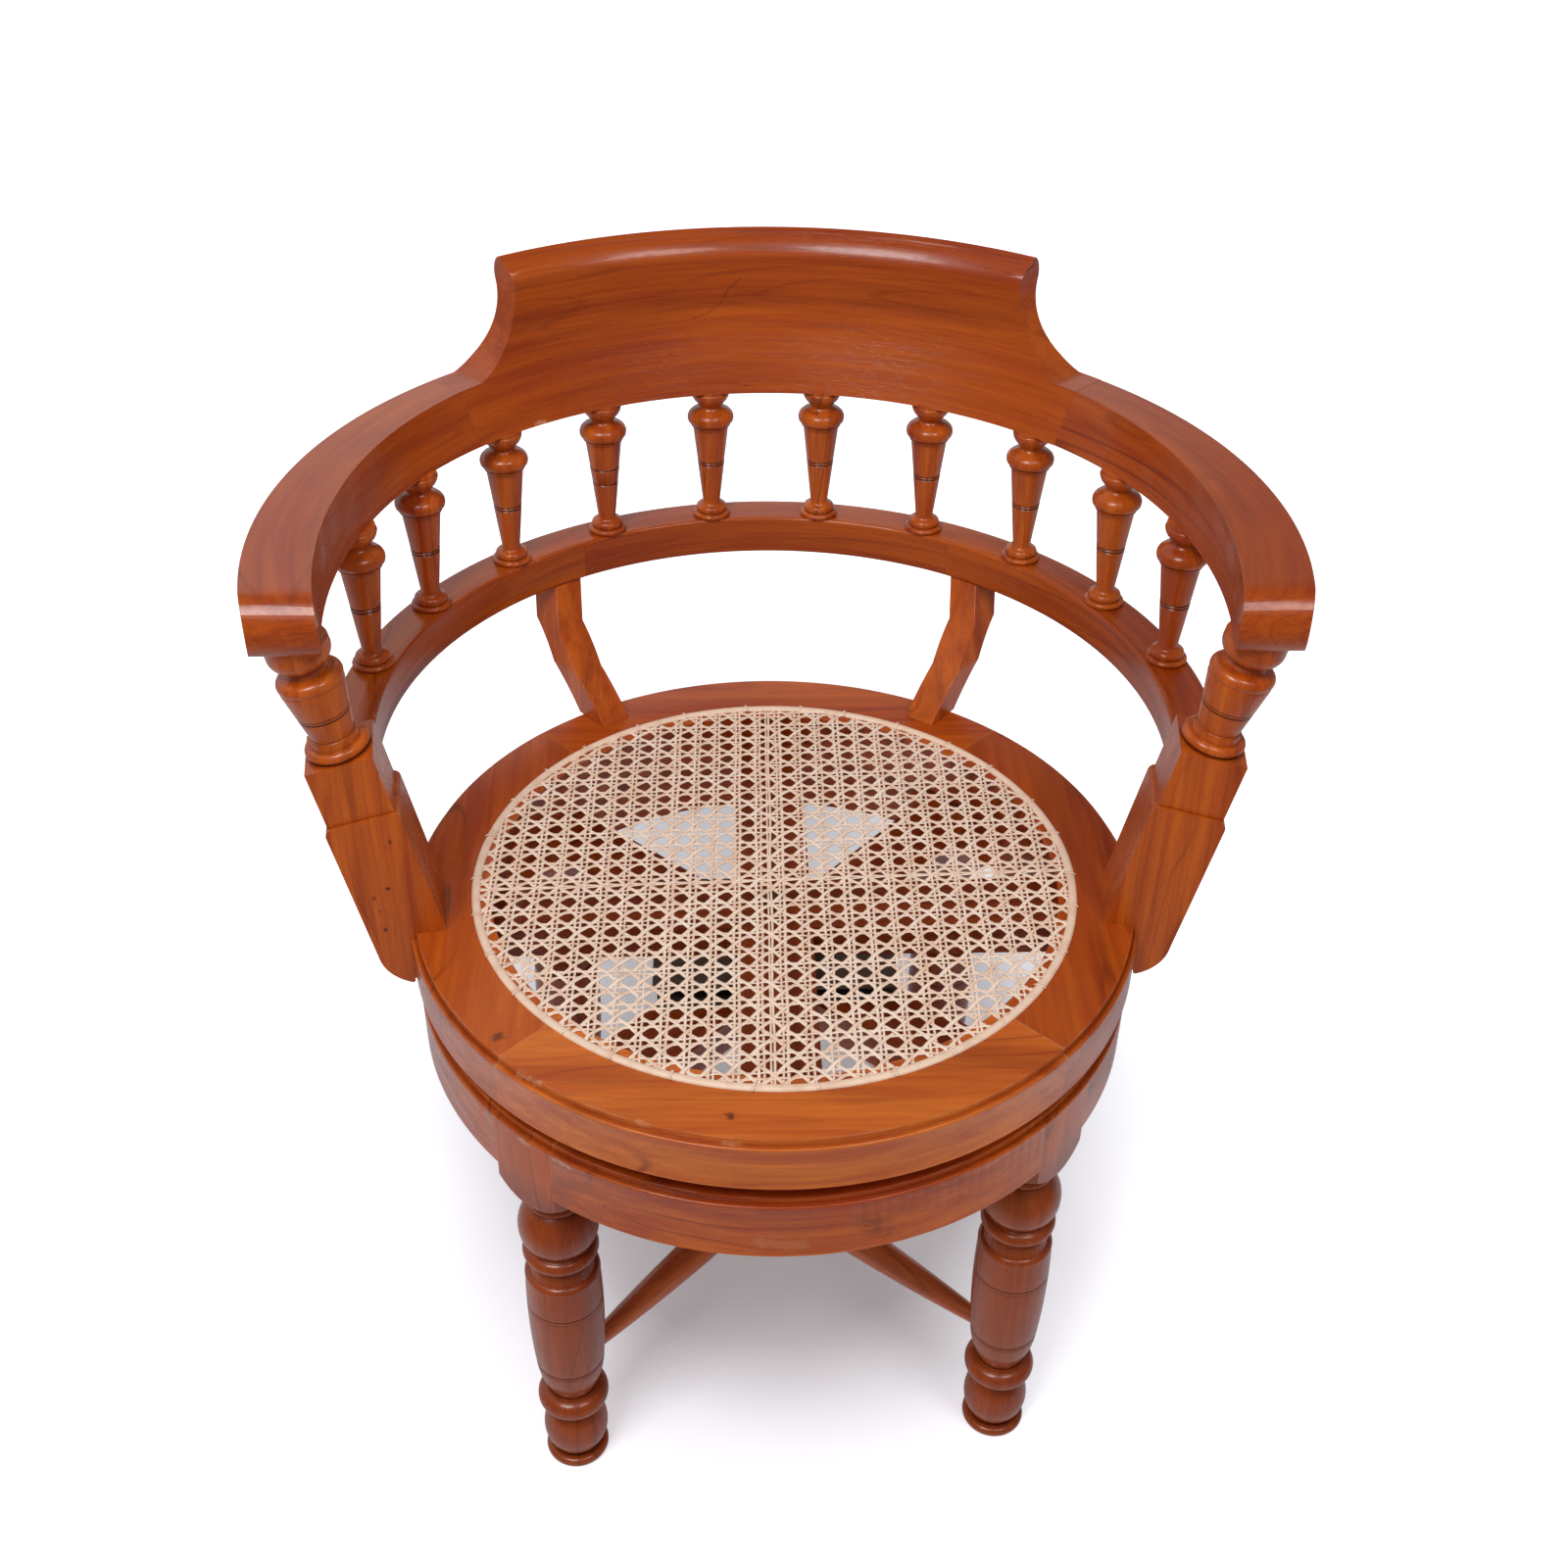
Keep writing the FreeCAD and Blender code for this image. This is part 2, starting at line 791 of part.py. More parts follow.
base_bar_reach = root(leg_inner * leg_inner - bar_half * bar_half) - dim.bar_clearance
running_bore = dim.bolt_radius + dim.bolt_clearance
for level_name, azimuth, notch_top in (("lower", 45, True), ("upper", 135, False)):
    bar = bearer(
        f"base_bar_{level_name}",
        base_bar_reach,
        leg_inner + dim.bar_tenon,
        bearer_top,
        notch_top,
        base_tongue_half,
        base_tongue,
        running_bore,
    )
    keep(f"base_bar_{level_name}", bar, turn=dim.base_turn + azimuth)

for long_name, azimuth, notch_top in (("front_back", 90, True), ("left_right", 0, False)):
    bar = bearer(
        f"seat_bar_{long_name}",
        dim.seat_hole_radius,
        dim.seat_hole_radius + dim.bar_tenon,
        seat_bar_top,
        notch_top,
        bar_half,
        (seat_bottom, seat_bar_top),
        dim.bolt_radius,
    )
    tools = []
    for side in (1, -1):
        tools.append(
            screw(
                "seat_bar_pilot",
                dim.bar_screw_long,
                (dim.seat_hole_radius + dim.bar_tenon / 2) * side,
                0,
                seat_bottom,
                True,
            )
        )
    bar = cut("seat_bar_drilled", bar, tools)
    keep(f"seat_bar_{long_name}", bar, turn=azimuth)


# Swivel: two plates with a ball race between them, and the pivot bolt
race_middle = bearer_top + dim.race_height / 2


def bearing_plate(name, low, screws):
    """A steel plate with a pressed groove, a centre hole and four screw holes."""
    across = dim.plate_wide / 2
    along = dim.plate_deep / 2
    blank = box(
        f"{name}_blank", (-across, -along, low), (across, along, low + dim.plate_thick)
    )
    groove = part(
        "Torus",
        f"{name}_groove",
        Radius1=dim.race_radius,
        Radius2=dim.ball_radius + dim.ball_clearance,
    )
    put(groove, z=race_middle)
    hole = rod(f"{name}_hole", dim.plate_hole_radius, dim.plate_thick + 2 * PAST, z=low - PAST)
    return cut(name, blank, [groove, hole, *screws])


lower_face = bearer_top + dim.plate_thick
lower_holes = plate_screws("lower_hole", lower_face, False, QUARTERS.values())
lower_plate = bearing_plate("lower_plate", bearer_top, lower_holes)
keep("swivel_lower_plate", lower_plate, turn=dim.base_turn)
upper_low = seat_bar_bottom - dim.plate_thick
upper_holes = plate_screws("upper_hole", upper_low, True, SIDES.values())
keep("swivel_upper_plate", bearing_plate("upper_plate", upper_low, upper_holes))
lower_screws = plate_screws("lower_screw", lower_face, False, QUARTERS.values())
keep("lower_plate_screws", group("lower_screws", lower_screws), turn=dim.base_turn)
upper_screws = plate_screws("upper_screw", upper_low, True, SIDES.values())
keep("upper_plate_screws", group("upper_screws", upper_screws))

balls = []
pockets = []
for i in range(int(dim.ball_count.number)):
    angle = sized(i) * 360 / dim.ball_count
    place = {"x": dim.race_radius * cosine(angle), "y": dim.race_radius * sine(angle)}
    ball = part("Sphere", "ball", Radius=dim.ball_radius)
    balls.append(put(ball, z=race_middle, **place))
    pocket = rod(
        "pocket",
        dim.ball_radius + 2 * dim.ball_clearance,
        dim.cage_thick + 2 * PAST,
        z=race_middle - dim.cage_thick / 2 - PAST,
        **place,
    )
    pockets.append(pocket)
keep("swivel_balls", group("balls", balls), turn=dim.base_turn)
cage_low = race_middle - dim.cage_thick / 2
cage = rod("cage_blank", dim.race_radius + dim.cage_width / 2, dim.cage_thick, z=cage_low)
cage_eye = rod(
    "cage_eye",
    dim.race_radius - dim.cage_width / 2,
    dim.cage_thick + 2 * PAST,
    z=cage_low - PAST,
)
keep("swivel_ball_cage", cut("cage", cage, [cage_eye, *pockets]), turn=dim.base_turn)

washer_top = bearer_bottom - dim.washer_gap
nut_top = washer_top - dim.washer_thick
nut_low = nut_top - dim.nut_tall
bolt_low = nut_low - dim.bolt_tail
shank = rod("bolt_shank", dim.bolt_radius, seat_bar_top - bolt_low, z=bolt_low)
head = part(
    "Prism",
    "bolt_head",
    Polygon=6,
    Circumradius=dim.bolt_head_radius,
    Height=dim.bolt_head_tall,
)
put(head, z=seat_bar_top)
keep("pivot_bolt", fuse("bolt", [shank, head]))
nut = part(
    "Prism", "nut_blank", Polygon=6, Circumradius=dim.bolt_head_radius, Height=dim.nut_tall
)
put(nut, z=nut_low)
thread = rod("nut_thread", dim.bolt_radius, dim.nut_tall + 2 * PAST, z=nut_low - PAST)
keep("pivot_nut", cut("nut", nut, [thread]))
washer = rod("washer_blank", dim.washer_radius, dim.washer_thick, z=nut_top)
eye = rod("washer_eye", dim.bolt_radius, dim.washer_thick + 2 * PAST, z=nut_top - PAST)
keep("pivot_washer", cut("washer", washer, [eye]))


# Seat ring of four segments, dowelled end to end
PEG_SHARES = (0.3, 0.7)


def seat_dowels(name, joint):
    """The pair of dowels that cross one joint of the seat ring."""
    wide = dim.seat_ring_radius - dim.seat_hole_radius
    made = []
    for i, share in enumerate(PEG_SHARES):
        peg = rod(
            f"{name}_{i}",
            dim.dowel_radius,
            dim.dowel_long,
            x=dim.seat_hole_radius + wide * share,
            y=dim.dowel_long / 2,
            z=dim.seat_height - dim.seat_ring_thick / 2,
            turn=90,
            axis=Vector(1, 0, 0),
        )
        made.append(peg)
    return put(group(name, made), turn=sized(joint))


keep(
    "seat_ring_dowels",
    group(
        "seat_pegs",
        [seat_dowels(f"seat_peg_{side}", turn + HALF_SEGMENT) for side, turn in SIDES.items()],
    ),
)


def post_screws(name):
    """Two screws that hold a front post to the seat ring, in the post's radial frame."""
    reach = dim.post_inner_radius + dim.post_depth - dim.post_screw_set
    made = []
    for i, side in enumerate((1, -1)):
        pin = part("Cylinder", f"{name}_{i}", Radius=dim.screw_radius, Height=dim.post_screw_long)
        put(
            pin,
            x=reach,
            y=dim.post_width / 4 * side,
            z=seat_bottom + dim.seat_ring_thick / 2 - dim.post_screw_stagger * side,
            turn=-90,
            axis=Vector(0, 1, 0),
        )
        made.append(pin)
    return made


for side_name, azimuth in SIDES.items():
    blank = revolved(
        "seat_blank",
        ring_section(dim.seat_hole_radius, dim.seat_ring_radius, seat_bottom, dim.seat_height),
        2 * HALF_SEGMENT,
    )
    half = dim.bar_width / 2
    housing = box(
        "seat_housing",
        (dim.seat_hole_radius - dim.seat_housing, -half, seat_bottom - PAST),
        (dim.seat_hole_radius + dim.bar_tenon, half, seat_bar_top),
    )
    pilot = screw(
        "seat_pilot",
        dim.bar_screw_long,
        dim.seat_hole_radius + dim.bar_tenon / 2,
        0,
        seat_bottom,
        True,
    )
    ends = [seat_dowels("seat_hole", HALF_SEGMENT), seat_dowels("seat_hole", -HALF_SEGMENT)]
    tools = [housing, pilot, *ends]
    if side_name in ("left", "right"):
        pins = group("ring_pins", post_screws("ring_pin"))
        lean = dim.post_azimuth if side_name == "left" else -dim.post_azimuth
        tools.append(put(pins, turn=lean))
    keep(f"seat_ring_{side_name}", cut("seat_segment", blank, tools), turn=azimuth)

bar_screws = [
    put(
        group(
            "bar_screw_at",
            [
                screw(
                    "bar_screw",
                    dim.bar_screw_long,
                    dim.seat_hole_radius + dim.bar_tenon / 2,
                    0,
                    seat_bottom,
                    True,
                )
            ],
        ),
        turn=sized(azimuth),
    )
    for azimuth in SIDES.values()
]
keep("seat_bar_screws", group("bar_screws", bar_screws))


# Caned panel: one holed sheet inside a flat binding strip
def cane_sheet():
    """The open cane weave as one holed face, pressed to the weave's thickness."""
    pitch = dim.cane_pitch.number
    gap = dim.cane_gap.number
    reach = dim.cane_radius.number - dim.binding_width.number
    snub = gap * ARC_LIFT
    half = gap / 2
    rim = Part.Wire(Part.makeCircle(reach))
    wires = [rim]
    count = int(reach / pitch) + 1
    for i in range(-count, count):
        for j in range(-count, count):
            x = (i + 0.5) * pitch
            y = (j + 0.5) * pitch
            far = math.hypot(abs(x) + half - snub / 2, abs(y) + half - snub / 2)
            if far > reach - dim.cane_margin.number:
                continue
            corners = [
                (half - snub, -half),
                (half, -half + snub),
                (half, half - snub),
                (half - snub, half),
                (-half + snub, half),
                (-half, half - snub),
                (-half, -half + snub),
                (-half + snub, -half),
            ]
            loop = [Vector(x + cx, y + cy, 0) for cx, cy in corners]
            wires.append(Part.makePolygon(loop + loop[:1]))
    print("cane gaps", len(wires) - 1)
    face = Part.makeFace(wires, "Part::FaceMakerBullseye")
    return face.extrude(Vector(0, 0, dim.cane_thick.number))


cane = doc.addObject("Part::Feature", "cane")
cane.Shape = cane_sheet()
keep("cane_panel", cane, z=dim.seat_height)
binding = revolved(
    "binding",
    [
        (dim.cane_radius - dim.binding_width, dim.seat_height),
        (dim.cane_radius, dim.seat_height),
        (dim.cane_radius, dim.seat_height + dim.binding_thick / 2, dim.binding_thick / 4),
        (dim.cane_radius - dim.binding_width, dim.seat_height + dim.binding_thick / 2),
    ],
)
keep("cane_binding", binding)


# Places and dowels shared by the hoops and what they join
def about(centre, thing):
    """Moves something made about the swivel axis into the frame of another centre."""
    return put(group("about_centre", [thing]), y=-centre)


def hoop_dowel(name, angle, radius, level):
    """A dowel across a joint of a hoop, in the hoop's own frame."""
    peg = rod(
        name,
        dim.dowel_radius,
        dim.dowel_long,
        x=radius,
        y=dim.dowel_long / 2,
        z=level,
        turn=90,
        axis=Vector(1, 0, 0),
    )
    return put(group(f"{name}_at", [peg]), turn=angle)


hoop_level = hoop_low + dim.hoop_thick / 2
hoop_joints = [
    -dim.hoop_post_angle,
    BACK - dim.hoop_joint,
    BACK + dim.hoop_joint,
    180 + dim.hoop_post_angle,
]


def hoop_dowels(name):
    return [hoop_dowel(name, joint, hoop_mid, hoop_level) for joint in hoop_joints]


# Front posts: lapped over the seat ring, leaning out, turned above a square block
def post_blank():
    """A front post in its radial frame, leaning outwards by the post's lean."""
    d = dim
    body = doc.addObject("PartDesign::Body", "post_body")
    lap = d.post_lap
    outer = d.post_depth
    rim = d.seat_ring_radius - d.post_inner_radius
    low_rim = (
        rim * cosine(d.post_lean) + lap * sine(d.post_lean),
        rim * sine(d.post_lean) - lap * cosine(d.post_lean),
    )
    top = d.post_low_tall
    round_over = d.post_low_round
    heel = low_rim[1] + d.post_lap_corner * 2
    sketch = outline(
        body,
        "post_profile",
        "XZ_Plane",
        [
            (-lap * tangent(d.post_lean), low_rim[1]),
            (outer - d.post_lap_corner, low_rim[1], d.post_lap_bulge),
            (outer, heel),
            (outer, top - round_over, round_over * ARC_LIFT),
            (outer - round_over, top),
            (round_over, top, round_over * ARC_LIFT),
            (0, top - round_over),
            (0, 0),
        ],
    )
    board = body.newObject("PartDesign::Pad", "post_board")
    board.Profile = sketch
    board.Midplane = True
    bind(board, "Length", d.post_width)
    inset = d.post_block_inset
    square = outline(
        body,
        "post_square",
        "XZ_Plane",
        [
            (inset, top - round_over),
            (outer - inset, top - round_over),
            (outer - inset, top + d.post_block_tall),
            (inset, top + d.post_block_tall),
        ],
    )
    block = body.newObject("PartDesign::Pad", "post_block")
    block.Profile = square
    block.Midplane = True
    bind(block, "Length", d.post_width - inset * 2)
    return body


def post_turning():
    """The turned head of a front post, from its block up past the arm's underside."""
    d = dim
    foot = d.post_low_tall + d.post_block_tall
    bead = foot + d.post_bead_tall
    step = bead + d.post_fillet_tall
    drum = step + d.post_drum_tall
    cap = drum + d.post_cap_tall
    neck = cap + d.post_fillet_tall
    over = (d.arm_rise + d.post_cup_tall) / cosine(d.post_lean)
    return revolved(
        "post_turning",
        [
            (0, foot - d.post_fillet),
            (d.post_bead_radius, foot - d.post_fillet),
            (d.post_bead_radius, foot, d.post_bead_bulge),
            (d.post_bead_radius, bead),
            (d.post_bead_radius - d.post_fillet, bead),
            (d.post_drum_foot + d.post_fillet / 2, step, -d.post_fillet / 2),
            (d.post_drum_foot, step + d.post_fillet),
            (d.post_drum_top, drum),
            (d.post_cap_radius, drum + d.post_fillet, d.post_cap_bulge),
            (d.post_cap_shoulder, cap),
            (d.post_neck_radius + d.post_fillet, cap + d.post_fillet / 2),
            (d.post_neck_radius, neck, d.post_cap_bulge),
            (d.post_cup_radius, neck + d.post_cup_tall),
            (d.post_cup_radius, over),
            (0, over),
        ],
    )


def leaning(thing, radius, lean, z):
    """Tips a piece outwards in its radial frame."""
    return put(thing, x=radius, z=z, turn=lean, axis=Vector(0, 1, 0))


def post_tenon(name):
    """The round tenon of a front post, up into the arm."""
    axis_shift = dim.post_depth / 2
    made = part(
        "Cylinder",
        name,
        Radius=dim.post_tenon_radius,
        Height=(dim.arm_rise + dim.tenon_long * 2) / cosine(dim.post_lean)
        - dim.post_low_tall,
    )
    return leaning(
        made,
        dim.post_inner_radius
        + axis_shift * cosine(dim.post_lean)
        + dim.post_low_tall * sine(dim.post_lean),
        dim.post_lean,
        dim.seat_height
        - axis_shift * sine(dim.post_lean)
        + dim.post_low_tall * cosine(dim.post_lean),
    )


def seat_ring_solid(name):
    """The seat ring's full outer form, which the post is notched around."""
    return revolved(
        name,
        ring_section(dim.seat_hole_radius, dim.seat_ring_radius, seat_bottom, dim.seat_height),
        SECTOR,
    )


def post_lower(name):
    """A front post's square part in its place on the ring, before it is notched."""
    blank = leaning(post_blank(), dim.post_inner_radius, dim.post_lean, dim.seat_height)
    return group(name, [blank])


for side_name, azimuth in (("left", 180 + dim.post_azimuth), ("right", -dim.post_azimuth)):
    lower = post_lower("post_square")
    pegs = about(-dim.hoop_centre, group("post_pegs", hoop_dowels("post_peg")))
    upper = post_turning()
    axis_shift = dim.post_depth / 2
    leaning(
        upper,
        dim.post_inner_radius + axis_shift * cosine(dim.post_lean),
        dim.post_lean,
        dim.seat_height - axis_shift * sine(dim.post_lean),
    )
    wide = dim.post_depth * 4
    over_arm = box(
        "post_headroom",
        (dim.post_inner_radius - wide, -wide, arm_low),
        (dim.post_inner_radius + wide, wide, arm_low + wide),
    )
    under_ring = box(
        "post_footroom",
        (dim.post_inner_radius - wide, -wide, seat_bottom - wide),
        (dim.seat_ring_radius, wide, seat_bottom),
    )
    turned = cut("post_trimmed", upper, [over_arm])
    notched = cut(
        "post_notched",
        fuse("post_whole", [lower, turned, post_tenon("post_tenon")]),
        [
            seat_ring_solid("post_notch"),
            under_ring,
            *post_screws("post_pin"),
            put(group("post_peg_set", [pegs]), turn=-azimuth),
        ],
    )
    keep(f"front_post_{side_name}", notched, turn=azimuth)

pins = []
for azimuth in (180 + dim.post_azimuth, -dim.post_azimuth):
    pins.append(put(group("post_pins", post_screws("post_screw")), turn=azimuth))
keep("front_post_screws", group("post_screw_set", pins))


# Rear knees: sawn brackets that sweep out from the ring to the lower hoop
def knee_profile():
    """The knee's outline in the hoop's radial plane, from the seat ring's top to the hoop."""
    d = dim
    flush = d.hoop_inner_radius
    foot = d.knee_inner_radius
    kink = foot + d.knee_reach
    bend = d.seat_height + d.knee_rise
    return [
        (foot, d.seat_height),
        (foot + d.knee_foot_depth, d.seat_height, -d.knee_belly),
        (kink + d.knee_top_depth, bend),
        (flush + d.knee_top_depth, hoop_low),
        (flush, hoop_low),
        (kink, bend, d.knee_belly),
    ]


def knee_tenon(name):
    """The knee's round tenon up into the hoop."""
    return rod(
        name,
        dim.dowel_radius,
        dim.knee_tenon * 2,
        x=hoop_mid,
        z=hoop_low - dim.knee_tenon,
    )


for side_name, azimuth in (("left", 180 - dim.knee_azimuth), ("right", dim.knee_azimuth)):
    knee = sawn("knee", knee_profile(), dim.knee_width)
    whole = fuse("knee_whole", [knee, knee_tenon("knee_tenon")])
    keep(f"rear_knee_{side_name}", whole, y=dim.hoop_centre, turn=azimuth)


# Balusters, upright between the hoop and the arms
def baluster_azimuths():
    """The balusters' directions from their circle's centre, evenly about the back."""
    count = int(dim.baluster_count.number)
    return [BACK + dim.baluster_spacing * (count / 2 - 0.5 - i) for i in range(count)]


def baluster_core(name):
    """The straight rod on a baluster's axis that ends in its two round tenons."""
    return rod(
        name,
        dim.tenon_radius,
        arm_low - hoop_top + 2 * dim.tenon_long,
        x=baluster_reach,
        z=hoop_top - dim.tenon_long,
    )


def baluster_turning():
    """A baluster's turned outline between its two shoulders."""
    d = dim
    neck = d.baluster_foot_tall + d.baluster_neck_tall
    taper = neck + d.baluster_taper_tall
    cap = taper + d.baluster_band_tall
    throat = cap + d.baluster_cap_tall + d.baluster_cap_slope
    cup = throat + d.baluster_band_tall
    length = arm_low - hoop_top
    corners = (
        (0, 0),
        (d.baluster_foot_radius, 0, d.baluster_foot_bulge),
        (d.baluster_foot_radius, d.baluster_foot_rim),
        (d.baluster_ledge_radius, d.baluster_foot_rim + d.baluster_ledge_step, d.baluster_ledge_bulge),
        (d.baluster_ledge_radius, d.baluster_foot_tall),
        (d.baluster_collar_radius, d.baluster_foot_tall),
        (d.baluster_neck_radius, neck),
        (d.baluster_taper_top, taper),
        (d.baluster_band_radius, taper),
        (d.baluster_band_radius, cap, d.baluster_cap_bulge),
        (d.baluster_cap_radius, cap + d.baluster_cap_tall),
        (d.baluster_cup_neck, throat),
        (d.baluster_cup_neck, cup, d.baluster_cup_bulge),
        (d.baluster_cup_radius, cup + d.baluster_cup_tall),
        (d.baluster_cup_radius, length),
        (0, length),
    )
    raised = [(radius, hoop_top + z, *bulge) for radius, z, *bulge in corners]
    return revolved("baluster_turning", raised)


for i, azimuth in enumerate(baluster_azimuths(), start=1):
    turning = put(baluster_turning(), x=baluster_reach)
    keep(
        f"baluster_{i:02d}",
        fuse("baluster", [turning, baluster_core("baluster_core")]),
        y=baluster_centre,
        turn=azimuth,
    )


def baluster_sockets(centre):
    """Bores for every baluster's tenons, in the frame of a hoop's centre."""
    bores = []
    for azimuth in baluster_azimuths():
        bore = put(group("socket", [baluster_core("socket_core")]), turn=azimuth)
        bores.append(about(centre - baluster_centre, bore))
    return bores


# Lower hoop in three lengths, its ends let into the front posts
def hoop_section():
    """The lower hoop's section, with its long edges eased."""
    d = dim
    inner = d.hoop_inner_radius
    outer = inner + d.hoop_width
    ease = d.hoop_round
    lift = ease * ARC_LIFT
    return [
        (inner + ease, hoop_low),
        (outer - ease, hoop_low, lift),
        (outer, hoop_low + ease),
        (outer, hoop_top - ease, lift),
        (outer - ease, hoop_top),
        (inner + ease, hoop_top, lift),
        (inner, hoop_top - ease),
        (inner, hoop_low + ease, lift),
    ]


keep("lower_hoop_dowels", group("hoop_pegs", hoop_dowels("hoop_peg")), y=dim.hoop_centre)

hoop_side_span = BACK + dim.hoop_end_angle - dim.hoop_joint
for side_name, span, azimuth in (
    ("left", hoop_side_span, BACK + dim.hoop_joint + hoop_side_span / 2),
    ("back", 2 * dim.hoop_joint, sized(BACK)),
    ("right", hoop_side_span, BACK - dim.hoop_joint - hoop_side_span / 2),
):
    blank = put(revolved("hoop_blank", hoop_section(), span), turn=azimuth)
    tools = [*baluster_sockets(dim.hoop_centre), *hoop_dowels("hoop_bore")]
    for knee_turn in (180 - dim.knee_azimuth, dim.knee_azimuth):
        tools.append(put(group("knee_bore", [knee_tenon("knee_socket")]), turn=knee_turn))
    for post_turn in (180 + dim.post_azimuth, -dim.post_azimuth):
        housed = put(group("hoop_end", [post_lower("hoop_end_post")]), turn=post_turn)
        tools.append(about(dim.hoop_centre, housed))
    keep(f"lower_hoop_{side_name}", cut("hoop", blank, tools), y=dim.hoop_centre)


# Arms: swept from the crest's joint to the rolled front end
arm_start = BACK - dim.crest_joint.number
arm_end = -dim.arm_end_angle.number
ARM_STATIONS = 9
FLARE_FROM = 0.4
RAKE_POWER = 1.5


def arm_section(share):
    """One closed section of the right arm, a share of the way to its front end."""
    ramp = (max(0, share - FLARE_FROM) / (1 - FLARE_FROM)) ** 2
    inner = arm_inner.number + dim.arm_flare_inner.number * ramp
    outer = arm_outer.number + dim.arm_flare_outer.number * ramp
    rake = dim.arm_rake.number * (1 - share) ** RAKE_POWER
    corners = [
        (inner, arm_low.number),
        (outer, arm_low.number),
        (outer, arm_top.number),
        (inner + rake, arm_top.number),
    ]
    turn = math.radians(arm_start + (arm_end - arm_start) * share)
    return Part.makePolygon(
        [
            Vector(radius * math.cos(turn), radius * math.sin(turn), z)
            for radius, z in corners + corners[:1]
        ]
    )


def arm_sweep():
    """The right arm before its front end is rounded, about the arms' centre."""
    shares = [i / (ARM_STATIONS - 1) for i in range(ARM_STATIONS)]
    return Part.makeLoft([arm_section(share) for share in shares], True, False)


def nose_tool():
    """The waste in front of an arm's rounded end, as a sawn profile across both arms."""
    d = dim
    tip = -d.arm_nose_reach
    over = d.arm_thick / 2
    waste = tip - d.arm_thick * 2
    return sawn(
        "nose",
        [
            (waste, arm_low - over),
            (tip + d.arm_nose_tuck, arm_low - over),
            (tip + d.arm_nose_tuck, arm_low, -d.arm_nose_bulge),
            (tip + d.arm_nose_flat, arm_top),
            (tip + d.arm_nose_flat, arm_top + over),
            (waste, arm_top + over),
        ],
        arm_outer * 3,
        "YZ_Plane",
    )


def arm_post_sockets():
    """Bores for the front posts' tenons, in the arms' frame."""
    bores = []
    for azimuth in (180 + dim.post_azimuth, -dim.post_azimuth):
        tenon = put(group("arm_bore", [post_tenon("arm_socket")]), turn=azimuth)
        bores.append(about(dim.arm_centre, tenon))
    return bores


arm_joints = [BACK - dim.crest_joint, BACK + dim.crest_joint]
arm_level = arm_low + dim.arm_thick / 2
arm_peg_radius = (arm_inner + dim.arm_rake / 2 + arm_outer) / 2


def arm_dowels(name):
    return [hoop_dowel(name, joint, arm_peg_radius, arm_level) for joint in arm_joints]


keep("arm_dowels", group("arm_pegs", arm_dowels("arm_peg")), y=dim.arm_centre)

for side_name, side in (("right", 1), ("left", -1)):
    sweep = doc.addObject("Part::Feature", "arm_sweep")
    shape = arm_sweep()
    sweep.Shape = shape if side > 0 else shape.mirror(Vector(0, 0, 0), Vector(1, 0, 0))
    tools = [
        nose_tool(),
        *baluster_sockets(dim.arm_centre),
        *arm_post_sockets(),
        *arm_dowels("arm_bore"),
    ]
    keep(f"arm_{side_name}", cut("arm", sweep, tools), y=dim.arm_centre)


# Crest rail: the raised back between the arms, rolled over at its top
def crest_section():
    """The crest's section from the balusters up to the roll."""
    d = dim
    roll = crest_top - d.crest_roll_drop
    return [
        (arm_inner, arm_low),
        (arm_outer, arm_low),
        (arm_outer, arm_top + d.arm_thick / 4, -d.crest_back_hollow),
        (crest_back - d.crest_back_hollow, roll, d.crest_roll_bulge),
        (crest_back - d.crest_roll_depth, crest_top, d.crest_top_bulge),
        (crest_front + d.crest_roll_depth, crest_top - d.crest_top_slope),
        (crest_front, roll, -d.crest_back_hollow),
        (arm_inner + d.arm_rake, arm_top),
    ]


def crest_cove(side):
    """The hollow in one end of the crest, and the waste beyond it, down to the arm's top."""
    d = dim
    start = arm_inner - d.arm_thick
    reach = d.arm_width * 2 + d.arm_thick * 2
    hollow = rod(
        "crest_hollow",
        d.crest_cove_radius,
        reach,
        x=start,
        z=crest_top - d.crest_cove_drop,
        turn=90,
        axis=Vector(0, 1, 0),
    )
    wide = d.crest_cove_radius * 2
    above = box(
        "crest_above", (start, -wide, arm_top), (start + reach, wide, crest_top + wide)
    )
    hollow = common("crest_hollow_end", [hollow, above])
    low, high = (0, wide) if side > 0 else (-wide, 0)
    beyond = box(
        "crest_beyond", (start, low, arm_top), (start + reach, high, crest_top + wide)
    )
    end = group("crest_end", [hollow, beyond])
    return put(end, turn=BACK + side * d.crest_cove_angle)


blank = put(revolved("crest_blank", crest_section(), 2 * dim.crest_joint), turn=sized(BACK))
tools = [
    crest_cove(1),
    crest_cove(-1),
    *baluster_sockets(dim.arm_centre),
    *arm_dowels("crest_bore"),
]
keep("crest_rail", cut("crest", blank, tools), y=dim.arm_centre)


# Check every object and every piece, then write the pieces
doc.recompute()
failed = [o.Name for o in doc.Objects if "Invalid" in o.State or "Error" in o.State]
if failed:
    raise RuntimeError(f"objects failed to build: {failed}")
for name, thing in pieces.items():
    if thing.Shape.isNull() or not thing.Shape.isValid() or not thing.Shape.Solids:
        raise RuntimeError(f"{name} is not a sound solid")
os.makedirs("parts", exist_ok=True)
for name, thing in pieces.items():
    thing.Shape.exportStep(f"parts/{name}.step")
print("pieces", len(pieces))
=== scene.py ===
"""Revolving armchair in polished teak with a round caned seat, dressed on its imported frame."""
import math
import random

import bmesh
import bpy
from mathutils import Matrix, Vector


